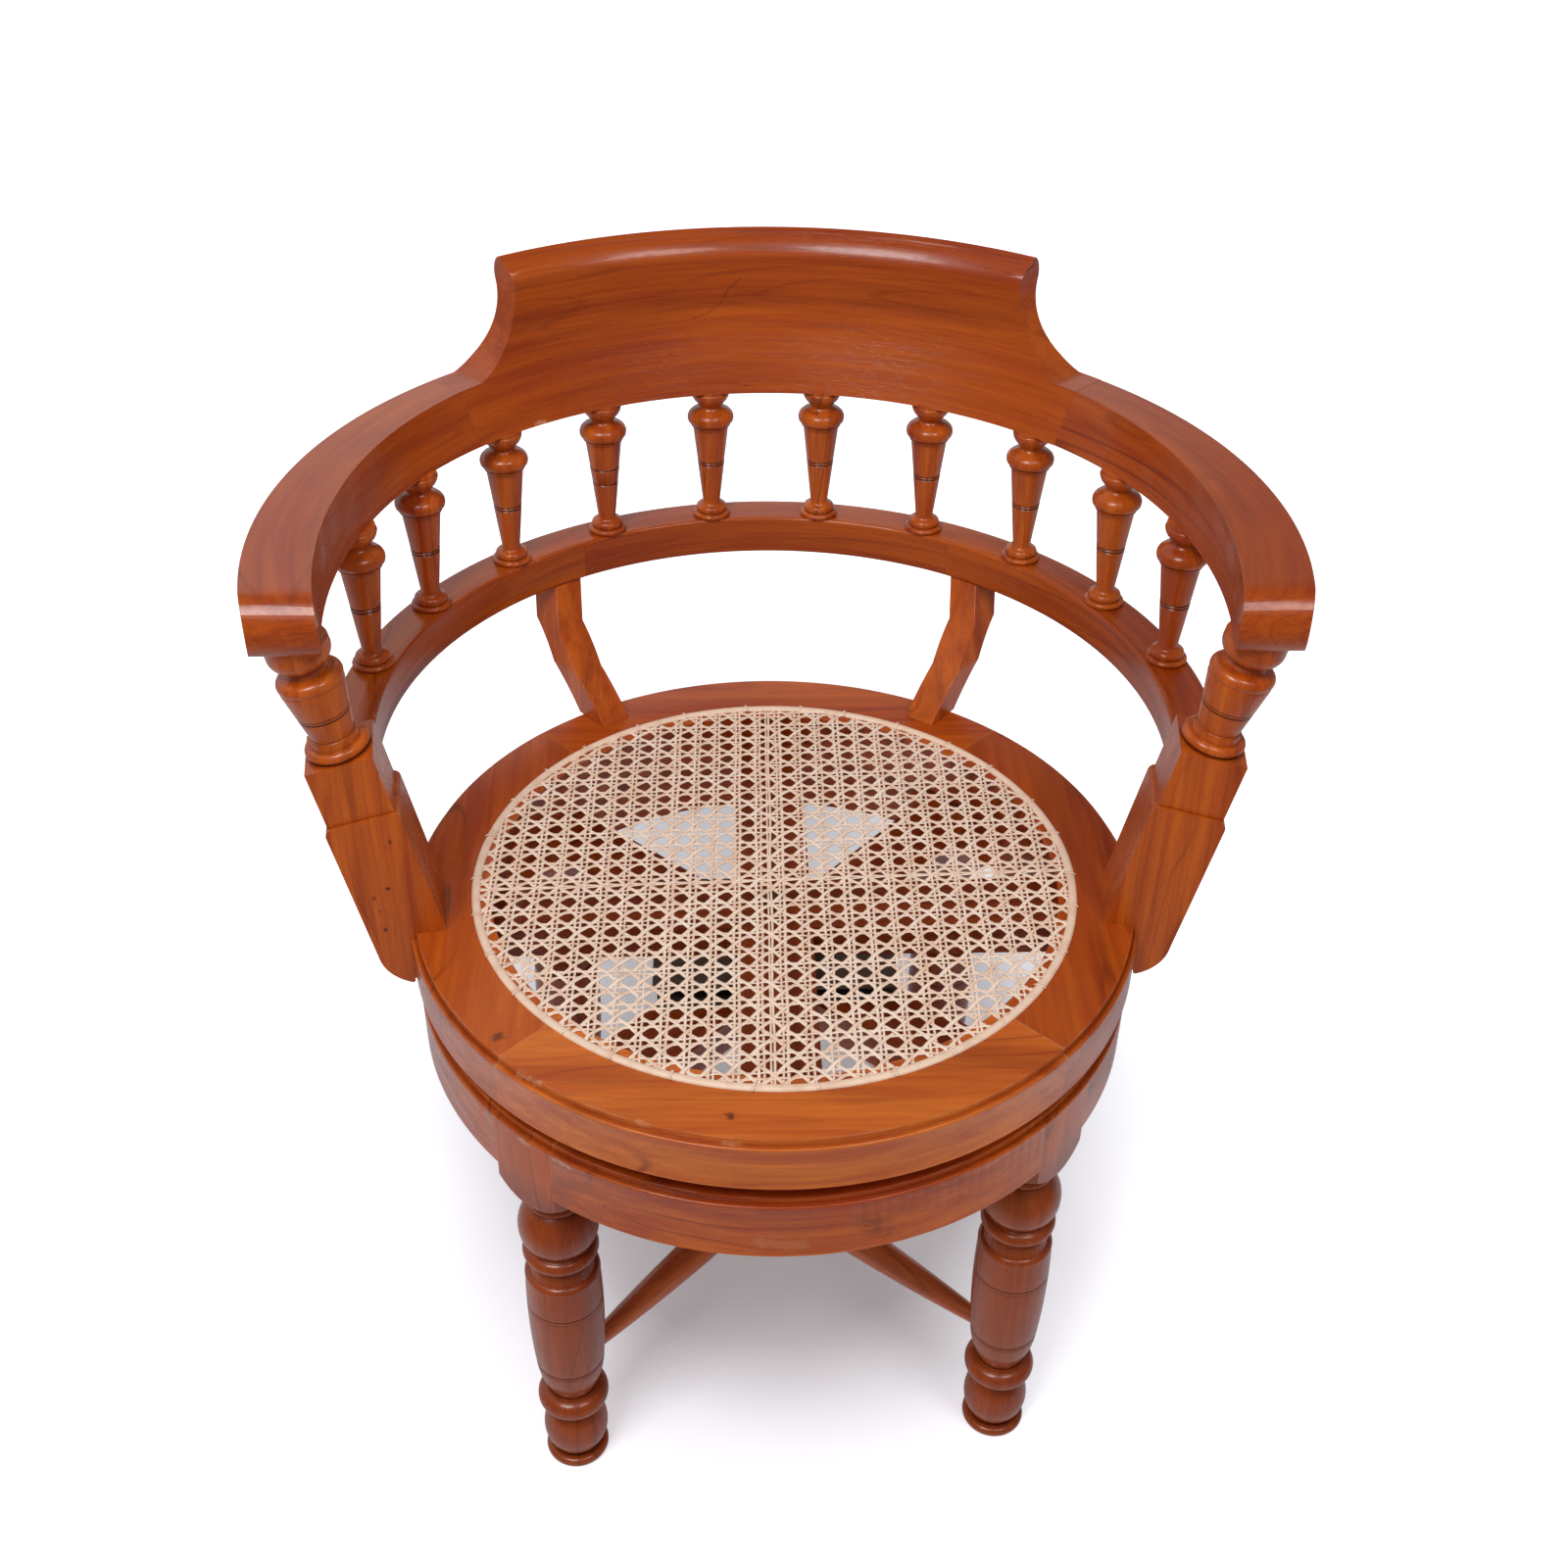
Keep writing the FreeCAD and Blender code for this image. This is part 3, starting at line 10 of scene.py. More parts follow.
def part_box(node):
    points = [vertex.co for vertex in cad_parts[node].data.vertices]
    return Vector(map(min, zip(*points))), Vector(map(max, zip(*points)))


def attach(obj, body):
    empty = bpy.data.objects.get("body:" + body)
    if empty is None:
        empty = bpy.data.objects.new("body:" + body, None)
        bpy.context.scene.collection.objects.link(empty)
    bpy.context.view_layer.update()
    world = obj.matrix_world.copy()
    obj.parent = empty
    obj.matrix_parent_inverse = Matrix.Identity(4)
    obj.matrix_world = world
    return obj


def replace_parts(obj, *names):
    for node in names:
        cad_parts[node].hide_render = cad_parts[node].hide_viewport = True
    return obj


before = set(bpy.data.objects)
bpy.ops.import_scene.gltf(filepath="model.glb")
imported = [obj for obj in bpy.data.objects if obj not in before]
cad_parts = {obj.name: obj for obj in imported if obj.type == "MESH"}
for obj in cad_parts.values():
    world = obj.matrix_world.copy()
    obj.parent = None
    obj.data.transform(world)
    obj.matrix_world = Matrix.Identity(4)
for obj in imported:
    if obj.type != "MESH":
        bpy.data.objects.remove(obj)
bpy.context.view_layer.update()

# Studio: a plain pale floor under the chair, a white sweep low behind it and to its left, and a
# dim room above and before it, lit by two large soft lamps overhead. The camera stands in front
# of the chair, above it and a little to its left.
PHOTO_SIDE = 1600
PHOTO_FOCAL = 1847.8
SENSOR = 36.0
CAMERA_PLACE = Vector((-0.0395, -1.1326, 1.317))
CAMERA_TURN = math.radians(2.423)
CAMERA_DIP = math.radians(36.157)
CAMERA_ROLL = math.radians(0.968)
SWEEP_FULL = 0.52
SWEEP_END = 0.68
SWEEP_SLOPE = 0.9
SWEEP_BEHIND = (-0.25, 0.35)
GLOW_HEIGHTS = (0.1, 0.6)
LOW_GLOW = 0.55
HIGH_GLOW = 0.25
ROOM_GLINT = 0.03
CEILING_GLINT = 0.14
SWEEP_GLINT = 0.80
FLOOR_HALF = 9
FLOOR_PALE = (0.87, 0.87, 0.92, 1)
FLOOR_DIM = (0.06, 0.06, 0.06, 1)
DIM_BEFORE = (-0.80, -0.15)
SHADE_MIDDLE = (0, 0.25, 0)
SHADE_NARROW = (1.7, 1, 1)
SHADE_REACH = (0.40, 0.80)
SHADE_GLOW = 0.14
LAMP_AIM = Vector((0, 0, 0.5))


def node(tree, kind, feeds, **settings):
    """A shader node with its settings, fed by plain values or by other nodes' outputs."""
    made = tree.nodes.new(f"ShaderNode{kind}")
    for name, value in settings.items():
        setattr(made, name, value)
    for key, value in feeds.items():
        if isinstance(value, bpy.types.NodeSocket):
            tree.links.new(value, made.inputs[key])
        else:
            made.inputs[key].default_value = value
    return made


def reckoned(tree, operation, one, other):
    """One number worked out from two."""
    return node(tree, "Math", {0: one, 1: other}, operation=operation).outputs[0]


def ranged(tree, value, low, high, first=0.0, last=1.0):
    """A value's place between low and high, as a number from first to last."""
    feeds = {"Value": value, "From Min": low, "From Max": high, "To Min": first, "To Max": last}
    return node(tree, "MapRange", feeds).outputs[0]


def blended(tree, share, one, other):
    """Two colours mixed by a share."""
    return node(tree, "Mix", {0: share, 6: one, 7: other}, data_type="RGBA").outputs[2]


def finish_named(name):
    """A new material and its Principled shader, ready for its finish."""
    made = bpy.data.materials.new(name)
    made.use_nodes = True
    return made, made.node_tree, made.node_tree.nodes["Principled BSDF"]


surround = bpy.data.worlds.new("studio_surround")
surround.use_nodes = True
bpy.context.scene.world = surround
sky = surround.node_tree
toward = node(sky, "TexCoord", {}).outputs["Generated"]
toward = node(sky, "SeparateXYZ", {"Vector": toward})
height = reckoned(sky, "MULTIPLY", toward.outputs["X"], SWEEP_SLOPE)
height = reckoned(sky, "ADD", height, toward.outputs["Z"])
sweep = ranged(sky, height, SWEEP_FULL, SWEEP_END, SWEEP_GLINT, CEILING_GLINT)
behind = ranged(sky, toward.outputs["Y"], *SWEEP_BEHIND)
glint = node(sky, "Mix", {0: behind, 2: ROOM_GLINT, 3: sweep}).outputs[0]
rays = node(sky, "LightPath", {}).outputs
level = ranged(sky, toward.outputs["Z"], *GLOW_HEIGHTS, LOW_GLOW, HIGH_GLOW)
level = node(sky, "Mix", {0: rays["Is Glossy Ray"], 2: level, 3: glint}).outputs[0]
level = node(sky, "Mix", {0: rays["Is Camera Ray"], 2: level, 3: 1.0}).outputs[0]
sky.nodes["Background"].inputs["Color"].default_value = (1, 1, 1, 1)
sky.links.new(level, sky.nodes["Background"].inputs["Strength"])

floor_mesh = bmesh.new()
bmesh.ops.create_grid(floor_mesh, x_segments=1, y_segments=1, size=FLOOR_HALF)
floor_data = bpy.data.meshes.new("floor")
floor_mesh.to_mesh(floor_data)
floor_mesh.free()
floor = bpy.data.objects.new("floor", floor_data)
bpy.context.scene.collection.objects.link(floor)
pale_floor, tree, shader = finish_named("pale_floor")
spot = node(tree, "TexCoord", {}).outputs["Object"]
before = ranged(tree, node(tree, "SeparateXYZ", {"Vector": spot}).outputs["Y"], *DIM_BEFORE, 1, 0)
rays = node(tree, "LightPath", {}).outputs
dim = reckoned(tree, "MULTIPLY", before, rays["Is Glossy Ray"])
tree.links.new(blended(tree, dim, FLOOR_PALE, FLOOR_DIM), shader.inputs["Base Color"])
narrowed = node(tree, "VectorMath", {0: spot, 1: SHADE_NARROW}, operation="MULTIPLY").outputs[0]
apart = node(tree, "VectorMath", {0: narrowed, 1: SHADE_MIDDLE}, operation="DISTANCE").outputs[1]
glow = ranged(tree, apart, *SHADE_REACH, SHADE_GLOW, 1.0)
glow = reckoned(tree, "MULTIPLY", rays["Is Camera Ray"], glow)
shader.inputs["Emission Color"].default_value = (0.95, 0.95, 1, 1)
tree.links.new(glow, shader.inputs["Emission Strength"])
shader.inputs["Roughness"].default_value = 0.9
shader.inputs["Specular IOR Level"].default_value = 0.1
floor_data.materials.append(pale_floor)


def lamp(name, place, side, power):
    """A square soft lamp that faces the seat."""
    light = bpy.data.lights.new(name, "AREA")
    light.size = side
    light.energy = power
    made = bpy.data.objects.new(name, light)
    made.location = place
    made.visible_camera = False
    made.rotation_euler = (LAMP_AIM - Vector(place)).to_track_quat("-Z", "Y").to_euler()
    bpy.context.scene.collection.objects.link(made)


lamp("key_lamp", (-0.95, -1.55, 3.3), 1.2, 56)
lamp("fill_lamp", (1.05, -1.4, 3.1), 0.9, 20)

ahead = Vector(
    (
        math.sin(CAMERA_TURN) * math.cos(CAMERA_DIP),
        math.cos(CAMERA_TURN) * math.cos(CAMERA_DIP),
        -math.sin(CAMERA_DIP),
    )
)
level_right = ahead.cross(Vector((0, 0, 1))).normalized()
level_up = level_right.cross(ahead)
right = level_right * math.cos(CAMERA_ROLL) + level_up * math.sin(CAMERA_ROLL)
up = level_up * math.cos(CAMERA_ROLL) - level_right * math.sin(CAMERA_ROLL)
lens = bpy.data.cameras.new("camera")
lens.sensor_width = SENSOR
lens.lens = PHOTO_FOCAL * SENSOR / PHOTO_SIDE
camera = bpy.data.objects.new("camera", lens)
facing = Matrix((right, up, -ahead)).transposed().to_4x4()
camera.matrix_world = Matrix.Translation(CAMERA_PLACE) @ facing
bpy.context.scene.collection.objects.link(camera)
bpy.context.scene.camera = camera
bpy.context.scene.view_settings.view_transform = "Standard"


# Teak: every wooden piece, rubbed and oiled to a satin polish. The figure has long soft streaks,
# smoky darker bands and a few thin wandering growth lines. Each piece is cut from its own plank,
# so its figure starts at its own place and runs along its own length.
POLISHED = ((0.56, 0.112, 0.009, 1), (0.35, 0.046, 0.004, 1), (0.15, 0.018, 0.003, 1))
RED = ((0.47, 0.086, 0.006, 1), (0.29, 0.034, 0.003, 1), (0.12, 0.013, 0.002, 1))
PALE = ((0.70, 0.180, 0.022, 1), (0.48, 0.085, 0.009, 1), (0.22, 0.030, 0.006, 1))
DARK = ((0.36, 0.066, 0.010, 1), (0.20, 0.028, 0.006, 1), (0.075, 0.012, 0.005, 1))
# Pale bare wood for chips and scuffs, also painted along the arrises as a highlight.
BARE_AND_HIGHLIGHT = (0.66, 0.33, 0.16, 1)
# Near black for pores, stains, nails, cracks and growth lines, also painted into the scribed
# grooves as shade.
GRIME_AND_SHADE = (0.055, 0.013, 0.006, 1)
SWIVEL = Vector((0, -0.063, 0))
SHARP = math.radians(30)
ARRIS = math.radians(40)
MERGE = 0.000003
FLAT = math.radians(0.5)


def group_of(name, takes, gives):
    """An empty node group with named inputs and outputs, and the ends to wire them to."""
    tree = bpy.data.node_groups.new(name, "ShaderNodeTree")
    for side, sockets in (("INPUT", takes), ("OUTPUT", gives)):
        for socket, kind in sockets.items():
            tree.interface.new_socket(socket, in_out=side, socket_type=f"NodeSocket{kind}")
    return tree, tree.nodes.new("NodeGroupInput").outputs, tree.nodes.new("NodeGroupOutput").inputs


def placed(tree, group, feeds):
    """A node group set into a material with its own values."""
    made = tree.nodes.new("ShaderNodeGroup")
    made.node_tree = group
    for key, value in feeds.items():
        if isinstance(value, bpy.types.NodeSocket):
            tree.links.new(value, made.inputs[key])
        else:
            made.inputs[key].default_value = value
    return made.outputs


figure, given, made = group_of(
    "teak_figure",
    {
        "Place": "Vector",
        "Pale": "Color",
        "Deep": "Color",
        "Smoke": "Color",
        "Vein": "Float",
        "Stripe": "Float",
    },
    {"Colour": "Color", "Height": "Float", "Gloss": "Float"},
)


def stretched(scale, **settings):
    """Noise drawn out along the plank, by its scale along and across the grain."""
    spot = node(figure, "Mapping", {"Vector": given["Place"], "Scale": scale}).outputs[0]
    return node(figure, "TexNoise", {"Vector": spot, "Scale": 1.0, **settings}).outputs["Fac"]


cloud = stretched((1.8, 7.0, 15.0), Detail=3.0, Roughness=0.55, Distortion=0.3)
streak = stretched((3.2, 45.0, 105.0), Detail=5.0, Roughness=0.60, Distortion=0.1)
fibre = stretched((16.0, 240.0, 560.0), Detail=2.0)
smoke = stretched((2.6, 16.0, 38.0), Detail=4.0, Roughness=0.6, Distortion=0.5)
contour = stretched((1.3, 7.0, 15.0), Detail=1.5, Distortion=0.4)
coming = stretched((4.0, 12.0, 12.0), Detail=1.0)
pore = stretched((110.0, 1700.0, 1700.0), Detail=1.0)
stripe = reckoned(figure, "MULTIPLY", reckoned(figure, "SUBTRACT", streak, 0.5), given["Stripe"])
stripe = reckoned(figure, "ADD", stripe, 0.5)
tone = reckoned(figure, "ADD", reckoned(figure, "MULTIPLY", cloud, 0.9), stripe)
tone = reckoned(figure, "ADD", tone, reckoned(figure, "MULTIPLY", fibre, 0.35))
tone = ranged(figure, tone, 0.92, 1.32)
wave = reckoned(figure, "PINGPONG", reckoned(figure, "MULTIPLY", contour, 16.0), 0.5)
vein = ranged(figure, wave, 0.0, 0.09, 1.0, 0.0)
vein = reckoned(figure, "MULTIPLY", vein, ranged(figure, coming, 0.46, 0.66))
vein = reckoned(figure, "MULTIPLY", vein, given["Vein"])
open_pore = ranged(figure, pore, 0.60, 0.72)
wood = blended(figure, tone, given["Deep"], given["Pale"])
wood = blended(figure, ranged(figure, smoke, 0.54, 0.78, 0.0, 0.62), wood, given["Smoke"])
wood = blended(figure, vein, wood, given["Smoke"])
wood = blended(figure, reckoned(figure, "MULTIPLY", open_pore, 0.20), wood, GRIME_AND_SHADE)
figure.links.new(wood, made["Colour"])
figure.links.new(reckoned(figure, "MULTIPLY", open_pore, -1.0), made["Height"])
figure.links.new(ranged(figure, streak, 0.3, 0.7, 0.31, 0.23), made["Gloss"])

# Edges and corners of any of the teak: arrises rubbed pale in patches, the pale partly wear and
# partly a painted highlight, and painted shade that darkens the corners and creases.
wear_and_shade, given, made = group_of(
    "wear_and_shade", {"Place": "Vector", "Patchy": "Float"}, {"Worn_and_highlit": "Float", "Corner_shade": "Float"}
)
inner = node(
    wear_and_shade, "AmbientOcclusion", {"Distance": 0.0014}, samples=4, inside=True, only_local=True
)
outer = node(wear_and_shade, "AmbientOcclusion", {"Distance": 0.0040}, samples=4, only_local=True)
edge_patches = node(wear_and_shade, "TexNoise", {"Vector": given["Place"], "Scale": 38.0, "Detail": 5.0})
edge_patches = edge_patches.outputs["Fac"]
# Paler in patches along the arrises: partly wear, partly a painted highlight.
worn_and_highlit = ranged(wear_and_shade, inner.outputs["AO"], 0.50, 0.85, 1, 0)
worn_and_highlit = reckoned(wear_and_shade, "MULTIPLY", worn_and_highlit, ranged(wear_and_shade, edge_patches, given["Patchy"], 0.80))
wear_and_shade.links.new(worn_and_highlit, made["Worn_and_highlit"])
# Darker in corners and creases: painted shade.
wear_and_shade.links.new(ranged(wear_and_shade, outer.outputs["AO"], 0.45, 0.80, 0.75, 0), made["Corner_shade"])

# A dent, scratch, knot or stain: everything near a short line on the piece.
mark, given, made = group_of(
    "mark",
    {"Place": "Vector", "Start": "Vector", "End": "Vector", "Reach": "Float"},
    {"Mask": "Float"},
)


def between(operation, one, other):
    """A vector or number worked out from two vectors."""
    return node(mark, "VectorMath", {0: one, 1: other}, operation=operation).outputs


off = between("SUBTRACT", given["Place"], given["Start"])[0]
run = between("SUBTRACT", given["End"], given["Start"])[0]
share = node(
    mark,
    "Math",
    {0: between("DOT_PRODUCT", off, run)[1], 1: between("DOT_PRODUCT", run, run)[1]},
    operation="DIVIDE",
    use_clamp=True,
).outputs[0]
nearest = node(mark, "VectorMath", {0: run, "Scale": share}, operation="SCALE").outputs[0]
gap = between("DISTANCE", off, nearest)[1]
ragged = node(mark, "TexNoise", {"Vector": given["Place"], "Scale": 260.0, "Detail": 3.0})
ragged = ranged(mark, ragged.outputs["Fac"], 0.3, 0.7, -0.5, 0.5)
gap = reckoned(mark, "ADD", gap, reckoned(mark, "MULTIPLY", ragged, given["Reach"]))
core = reckoned(mark, "MULTIPLY", given["Reach"], 0.2)
mark.links.new(ranged(mark, gap, core, given["Reach"], 1.0, 0.0), made["Mask"])


def teak(
    name,
    shades,
    along=None,
    vein=0.5,
    start=0.0,
    patchy=0.60,
    bent=None,
    stripe=1.0,
    marks=(),
    head=None,
):
    """Polished teak whose grain runs along a level direction, round a bend's (radius, centre),
    or upright where neither is given. Marks are (points, reach, colour, strength), and a head
    (from, to, shades) is another tone that the piece takes on between two heights."""
    finish, tree, shader = finish_named(name)
    where = node(tree, "TexCoord", {}).outputs["Object"]
    plank = where
    turn = (0, math.radians(90), 0) if along is None else (0, 0, -math.radians(along))
    if bent is not None:
        turn = (0, 0, 0)
        radius, centre = bent
        off = node(tree, "SeparateXYZ", {"Vector": where}).outputs
        back = reckoned(tree, "SUBTRACT", off["Y"], centre)
        run = reckoned(tree, "MULTIPLY", reckoned(tree, "ARCTAN2", off["X"], back), radius)
        reach = reckoned(tree, "MULTIPLY", off["X"], off["X"])
        reach = reckoned(tree, "ADD", reach, reckoned(tree, "MULTIPLY", back, back))
        reach = reckoned(tree, "SQRT", reach, 0)
        plank = node(tree, "CombineXYZ", {"X": run, "Y": reach, "Z": off["Z"]}).outputs[0]
    plank = node(
        tree,
        "Mapping",
        {"Vector": plank, "Rotation": turn, "Location": (start * 1.7, start * 0.61, start * 0.37)},
    ).outputs[0]
    if head is not None:
        low, high, upper = head
        share = ranged(tree, node(tree, "SeparateXYZ", {"Vector": where}).outputs["Z"], low, high)
        shades = [blended(tree, share, below, above) for below, above in zip(shades, upper)]
    feeds = {"Place": plank, "Pale": shades[0], "Deep": shades[1], "Smoke": shades[2]}
    feeds.update({"Vein": vein, "Stripe": stripe})
    look = placed(tree, figure, feeds)
    edges_and_corners = placed(tree, wear_and_shade, {"Place": where, "Patchy": patchy})
    scribed = node(tree, "Attribute", {}, attribute_name="scribed").outputs["Fac"]
    # Arrises paler in patches: partly wear, partly a painted highlight.
    wood = blended(tree, reckoned(tree, "MULTIPLY", edges_and_corners["Worn_and_highlit"], 0.8), look["Colour"], BARE_AND_HIGHLIGHT)
    # Corners and creases darker: painted shade.
    wood = blended(tree, edges_and_corners["Corner_shade"], wood, shades[2])
    # Scribed grooves darker: painted shade.
    wood = blended(tree, ranged(tree, scribed, 0, 0.6), wood, GRIME_AND_SHADE)
    for points, reach, colour, strength in marks:
        for first, last in zip(points, points[1:]):
            feeds = {"Place": where, "Start": first, "End": last, "Reach": reach}
            seen = placed(tree, mark, feeds)["Mask"]
            wood = blended(tree, reckoned(tree, "MULTIPLY", seen, strength), wood, colour)
    relief = node(tree, "Bump", {"Strength": 0.25, "Distance": 0.0002, "Height": look["Height"]})
    tree.links.new(wood, shader.inputs["Base Color"])
    tree.links.new(look["Gloss"], shader.inputs["Roughness"])
    tree.links.new(relief.outputs[0], shader.inputs["Normal"])
    shader.inputs["Coat Weight"].default_value = 0.20
    shader.inputs["Coat Roughness"].default_value = 0.10
    shader.inputs["Specular IOR Level"].default_value = 0.40
    return finish


def shown(name, shape, body, finish):
    """Turns a bmesh into a smooth shaded piece that rides on a body."""
    data = bpy.data.meshes.new(name)
    shape.to_mesh(data)
    shape.free()
    data.materials.append(finish)
    data.polygons.foreach_set("use_smooth", [True] * len(data.polygons))
    piece = bpy.data.objects.new(name, data)
    bpy.context.scene.collection.objects.link(piece)
    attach(piece, body)
    return piece


def merged(cad_name):
    """A copy of a CAD piece as one merged mesh."""
    shape = bmesh.new()
    shape.from_mesh(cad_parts[cad_name].data)
    bmesh.ops.remove_doubles(shape, verts=shape.verts, dist=MERGE)
    bmesh.ops.dissolve_limit(shape, angle_limit=FLAT, verts=shape.verts, edges=shape.edges)
    return shape


def eased(cad_name, body, finish, ease, shape=None):
    """A sawn or moulded piece, with its sharp edges eased by sanding."""
    piece = shown(f"{cad_name}_finished", shape or merged(cad_name), body, finish)
    piece.data.set_sharp_from_angle(angle=SHARP)
    soften = piece.modifiers.new("eased_edges", "BEVEL")
    soften.width = ease
    soften.segments = 2
    soften.limit_method = "ANGLE"
    soften.angle_limit = ARRIS
    soften.harden_normals = True
    soften.use_clamp_overlap = True
    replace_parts(piece, cad_name)


# Seat ring: four curved segments sawn from teak boards and dowelled end to end, with a stepped
# moulding round the upper outer edge. The grain of each segment runs along its own chord.
EASE = 0.0012
RING_MARKS = {
    "front": (
        (((-0.0355, -0.3116, 0.4500), (-0.0350, -0.3110, 0.4500)), 0.0045, GRIME_AND_SHADE, 0.75),
        (((-0.1761, -0.2677, 0.4467), (-0.1621, -0.2789, 0.4487)), 0.0032, BARE_AND_HIGHLIGHT, 0.60),
        (((-0.0962, -0.3152, 0.4497), (-0.0890, -0.3180, 0.4490)), 0.0022, BARE_AND_HIGHLIGHT, 0.50),
        (((-0.0400, -0.3300, 0.4455), (-0.0300, -0.3318, 0.4455)), 0.0022, BARE_AND_HIGHLIGHT, 0.45),
    ),
    "left": ((((-0.1940, -0.2360, 0.4500), (-0.1925, -0.2352, 0.4500)), 0.0050, GRIME_AND_SHADE, 0.75),),
}
SEGMENTS = (("front", 0, PALE), ("right", 90, RED), ("back", 0, POLISHED), ("left", 90, POLISHED))
for number, (side, along, shades) in enumerate(SEGMENTS):
    marks = RING_MARKS.get(side, ())
    wood = teak(f"seat_ring_{side}_teak", shades, along, 0.8, 0.31 + number, 0.40, marks=marks)
    eased(f"seat_ring_{side}", "seat", wood, EASE)


# Cane seat: split cane woven by hand in pairs from side to side and from front to back, with
# single strands on both diagonals. An extra pair runs through the middle each way, where the
# weaver began.
CANE_REACH = 0.2235
CANE_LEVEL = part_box("cane_panel")[0].z + 0.0010
CANE_MIDDLE = SWIVEL + Vector((-0.0039, -0.0081, 0))
ACROSS = Vector((math.cos(math.radians(2.2)), math.sin(math.radians(2.2)), 0)) * 0.01665
AWAY = Vector((math.sin(math.radians(0.8)), math.cos(math.radians(0.8)), 0)) * 0.0178
PAIR_ACROSS = 0.00187
PAIR_AWAY = 0.00262
MIDDLE_PAIR = 0.0010
STRAND_WIDE = (0.0016, 0.0023)
DIAGONAL_WIDE = (0.0024, 0.0031)
STRAND_THICK = 0.0007
STRAND_ROWS = (-0.5, -0.27, 0.27, 0.5)
STRAND_ROUND = 0.45
EDGE_CLEAR = 0.003
MOSTLY_PALE = 1.6
SWAY = (0.0001, 0.0005)
SWAY_BEND = (35, 80)
STRAY = 0.0003
PAIR_STRAY = 0.0004
DIAGONAL_STRAY = 0.0006
END_DROP = -1.2
END_CLEAR = 0.001
WEAVE_RISE = 0.00055
DIAGONAL_RISE = 1.6
MESHES = 14

cane, tree, shader = finish_named("split_cane")
where = node(tree, "TexCoord", {}).outputs["Object"]
patch = node(tree, "TexNoise", {"Vector": where, "Scale": 75.0, "Detail": 3.0}).outputs["Fac"]
fleck = node(tree, "TexNoise", {"Vector": where, "Scale": 700.0, "Detail": 2.0}).outputs["Fac"]
bark = node(tree, "Attribute", {}, attribute_name="strand_tone").outputs["Fac"]
straw = blended(tree, ranged(tree, bark, 0, 1), (1.0, 0.81, 0.67, 1), (0.90, 0.64, 0.47, 1))
straw = blended(tree, ranged(tree, patch, 0.48, 0.75, 0, 0.6), straw, (0.74, 0.46, 0.31, 1))
straw = blended(tree, ranged(tree, fleck, 0.62, 0.80, 0, 0.4), straw, (0.42, 0.20, 0.10, 1))
tree.links.new(straw, shader.inputs["Base Color"])
shader.inputs["Roughness"].default_value = 0.45
relief = node(tree, "Bump", {"Strength": 0.3, "Distance": 0.0002, "Height": fleck})
tree.links.new(relief.outputs[0], shader.inputs["Normal"])

rng = random.Random(7)


def thickened(piece, thickness, cad_name):
    """Gives flat cane its thickness downwards, and puts it in the place of a CAD piece."""
    thicken = piece.modifiers.new("cane_thickness", "SOLIDIFY")
    thicken.thickness = thickness
    thicken.offset = -1
    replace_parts(piece, cad_name)


def woven(name, along, lines, crossings, widths):
    """One direction of the weave: flat strands on their lines, that rise and fall at their
    crossings and wander a little, as pulled by hand."""
    shape = bmesh.new()
    tones = shape.verts.layers.float.new("strand_tone")
    side = Vector((0, 0, 1)).cross(along)
    for origin, over in lines:
        toward = origin - SWIVEL
        middle = -toward.dot(along)
        gap = (toward + along * middle).length
        if gap > CANE_REACH - EDGE_CLEAR:
            continue
        half = math.sqrt(CANE_REACH**2 - gap**2)
        inside = [
            (at, rise * over) for at, rise in crossings if abs(at - middle) < half - END_CLEAR
        ]
        stations = [(middle - half, END_DROP), *inside, (middle + half, END_DROP)]
        wide = rng.uniform(*widths)
        tone = rng.random() ** MOSTLY_PALE
        sway = rng.uniform(*SWAY)
        bend = rng.uniform(*SWAY_BEND)
        phase = rng.uniform(0, math.tau)
        grid = bmesh.ops.create_grid(shape, x_segments=len(stations) - 1, y_segments=3, size=0.5)
        for v in grid["verts"]:
            at, rise = stations[round((v.co.x + 0.5) * (len(stations) - 1))]
            row = round((v.co.y + 0.5) * 3)
            off = STRAND_ROWS[row] * wide + sway * math.sin(at * bend + phase)
            drop = 0.0 if row in (1, 2) else STRAND_THICK * STRAND_ROUND
            v.co = origin + along * at + side * off
            v.co.z = CANE_LEVEL + WEAVE_RISE * rise - drop
            v[tones] = tone
    thickened(shown(name, shape, "seat", cane), STRAND_THICK, "cane_panel")


def pair_weave(name, step_line, step_along, own_spread, other_spread, first):
    """The pairs of one direction. Each strand of a pair passes over one strand of every pair it
    meets and under the other, and its neighbour does the opposite."""
    lines = []
    spreads = [(i + 0.5, own_spread) for i in range(-MESHES, MESHES)] + [(0, MIDDLE_PAIR)]
    for i, spread in spreads:
        drift = rng.uniform(-PAIR_STRAY, PAIR_STRAY)
        for hand in (-1, 1):
            apart = hand * spread + drift + rng.uniform(-STRAY, STRAY)
            origin = CANE_MIDDLE + step_line * i + step_line.normalized() * apart
            lines.append((origin, hand * first))
    pitch = step_along.length
    crossings = []
    for i in range(-MESHES, MESHES):
        middle = (i + 0.5) * pitch
        crossings += [
            (middle - other_spread, 1),
            (middle, 0),
            (middle + other_spread, -1),
            (middle + pitch / 2, 0),
        ]
    woven(name, step_along.normalized(), lines, crossings, STRAND_WIDE)


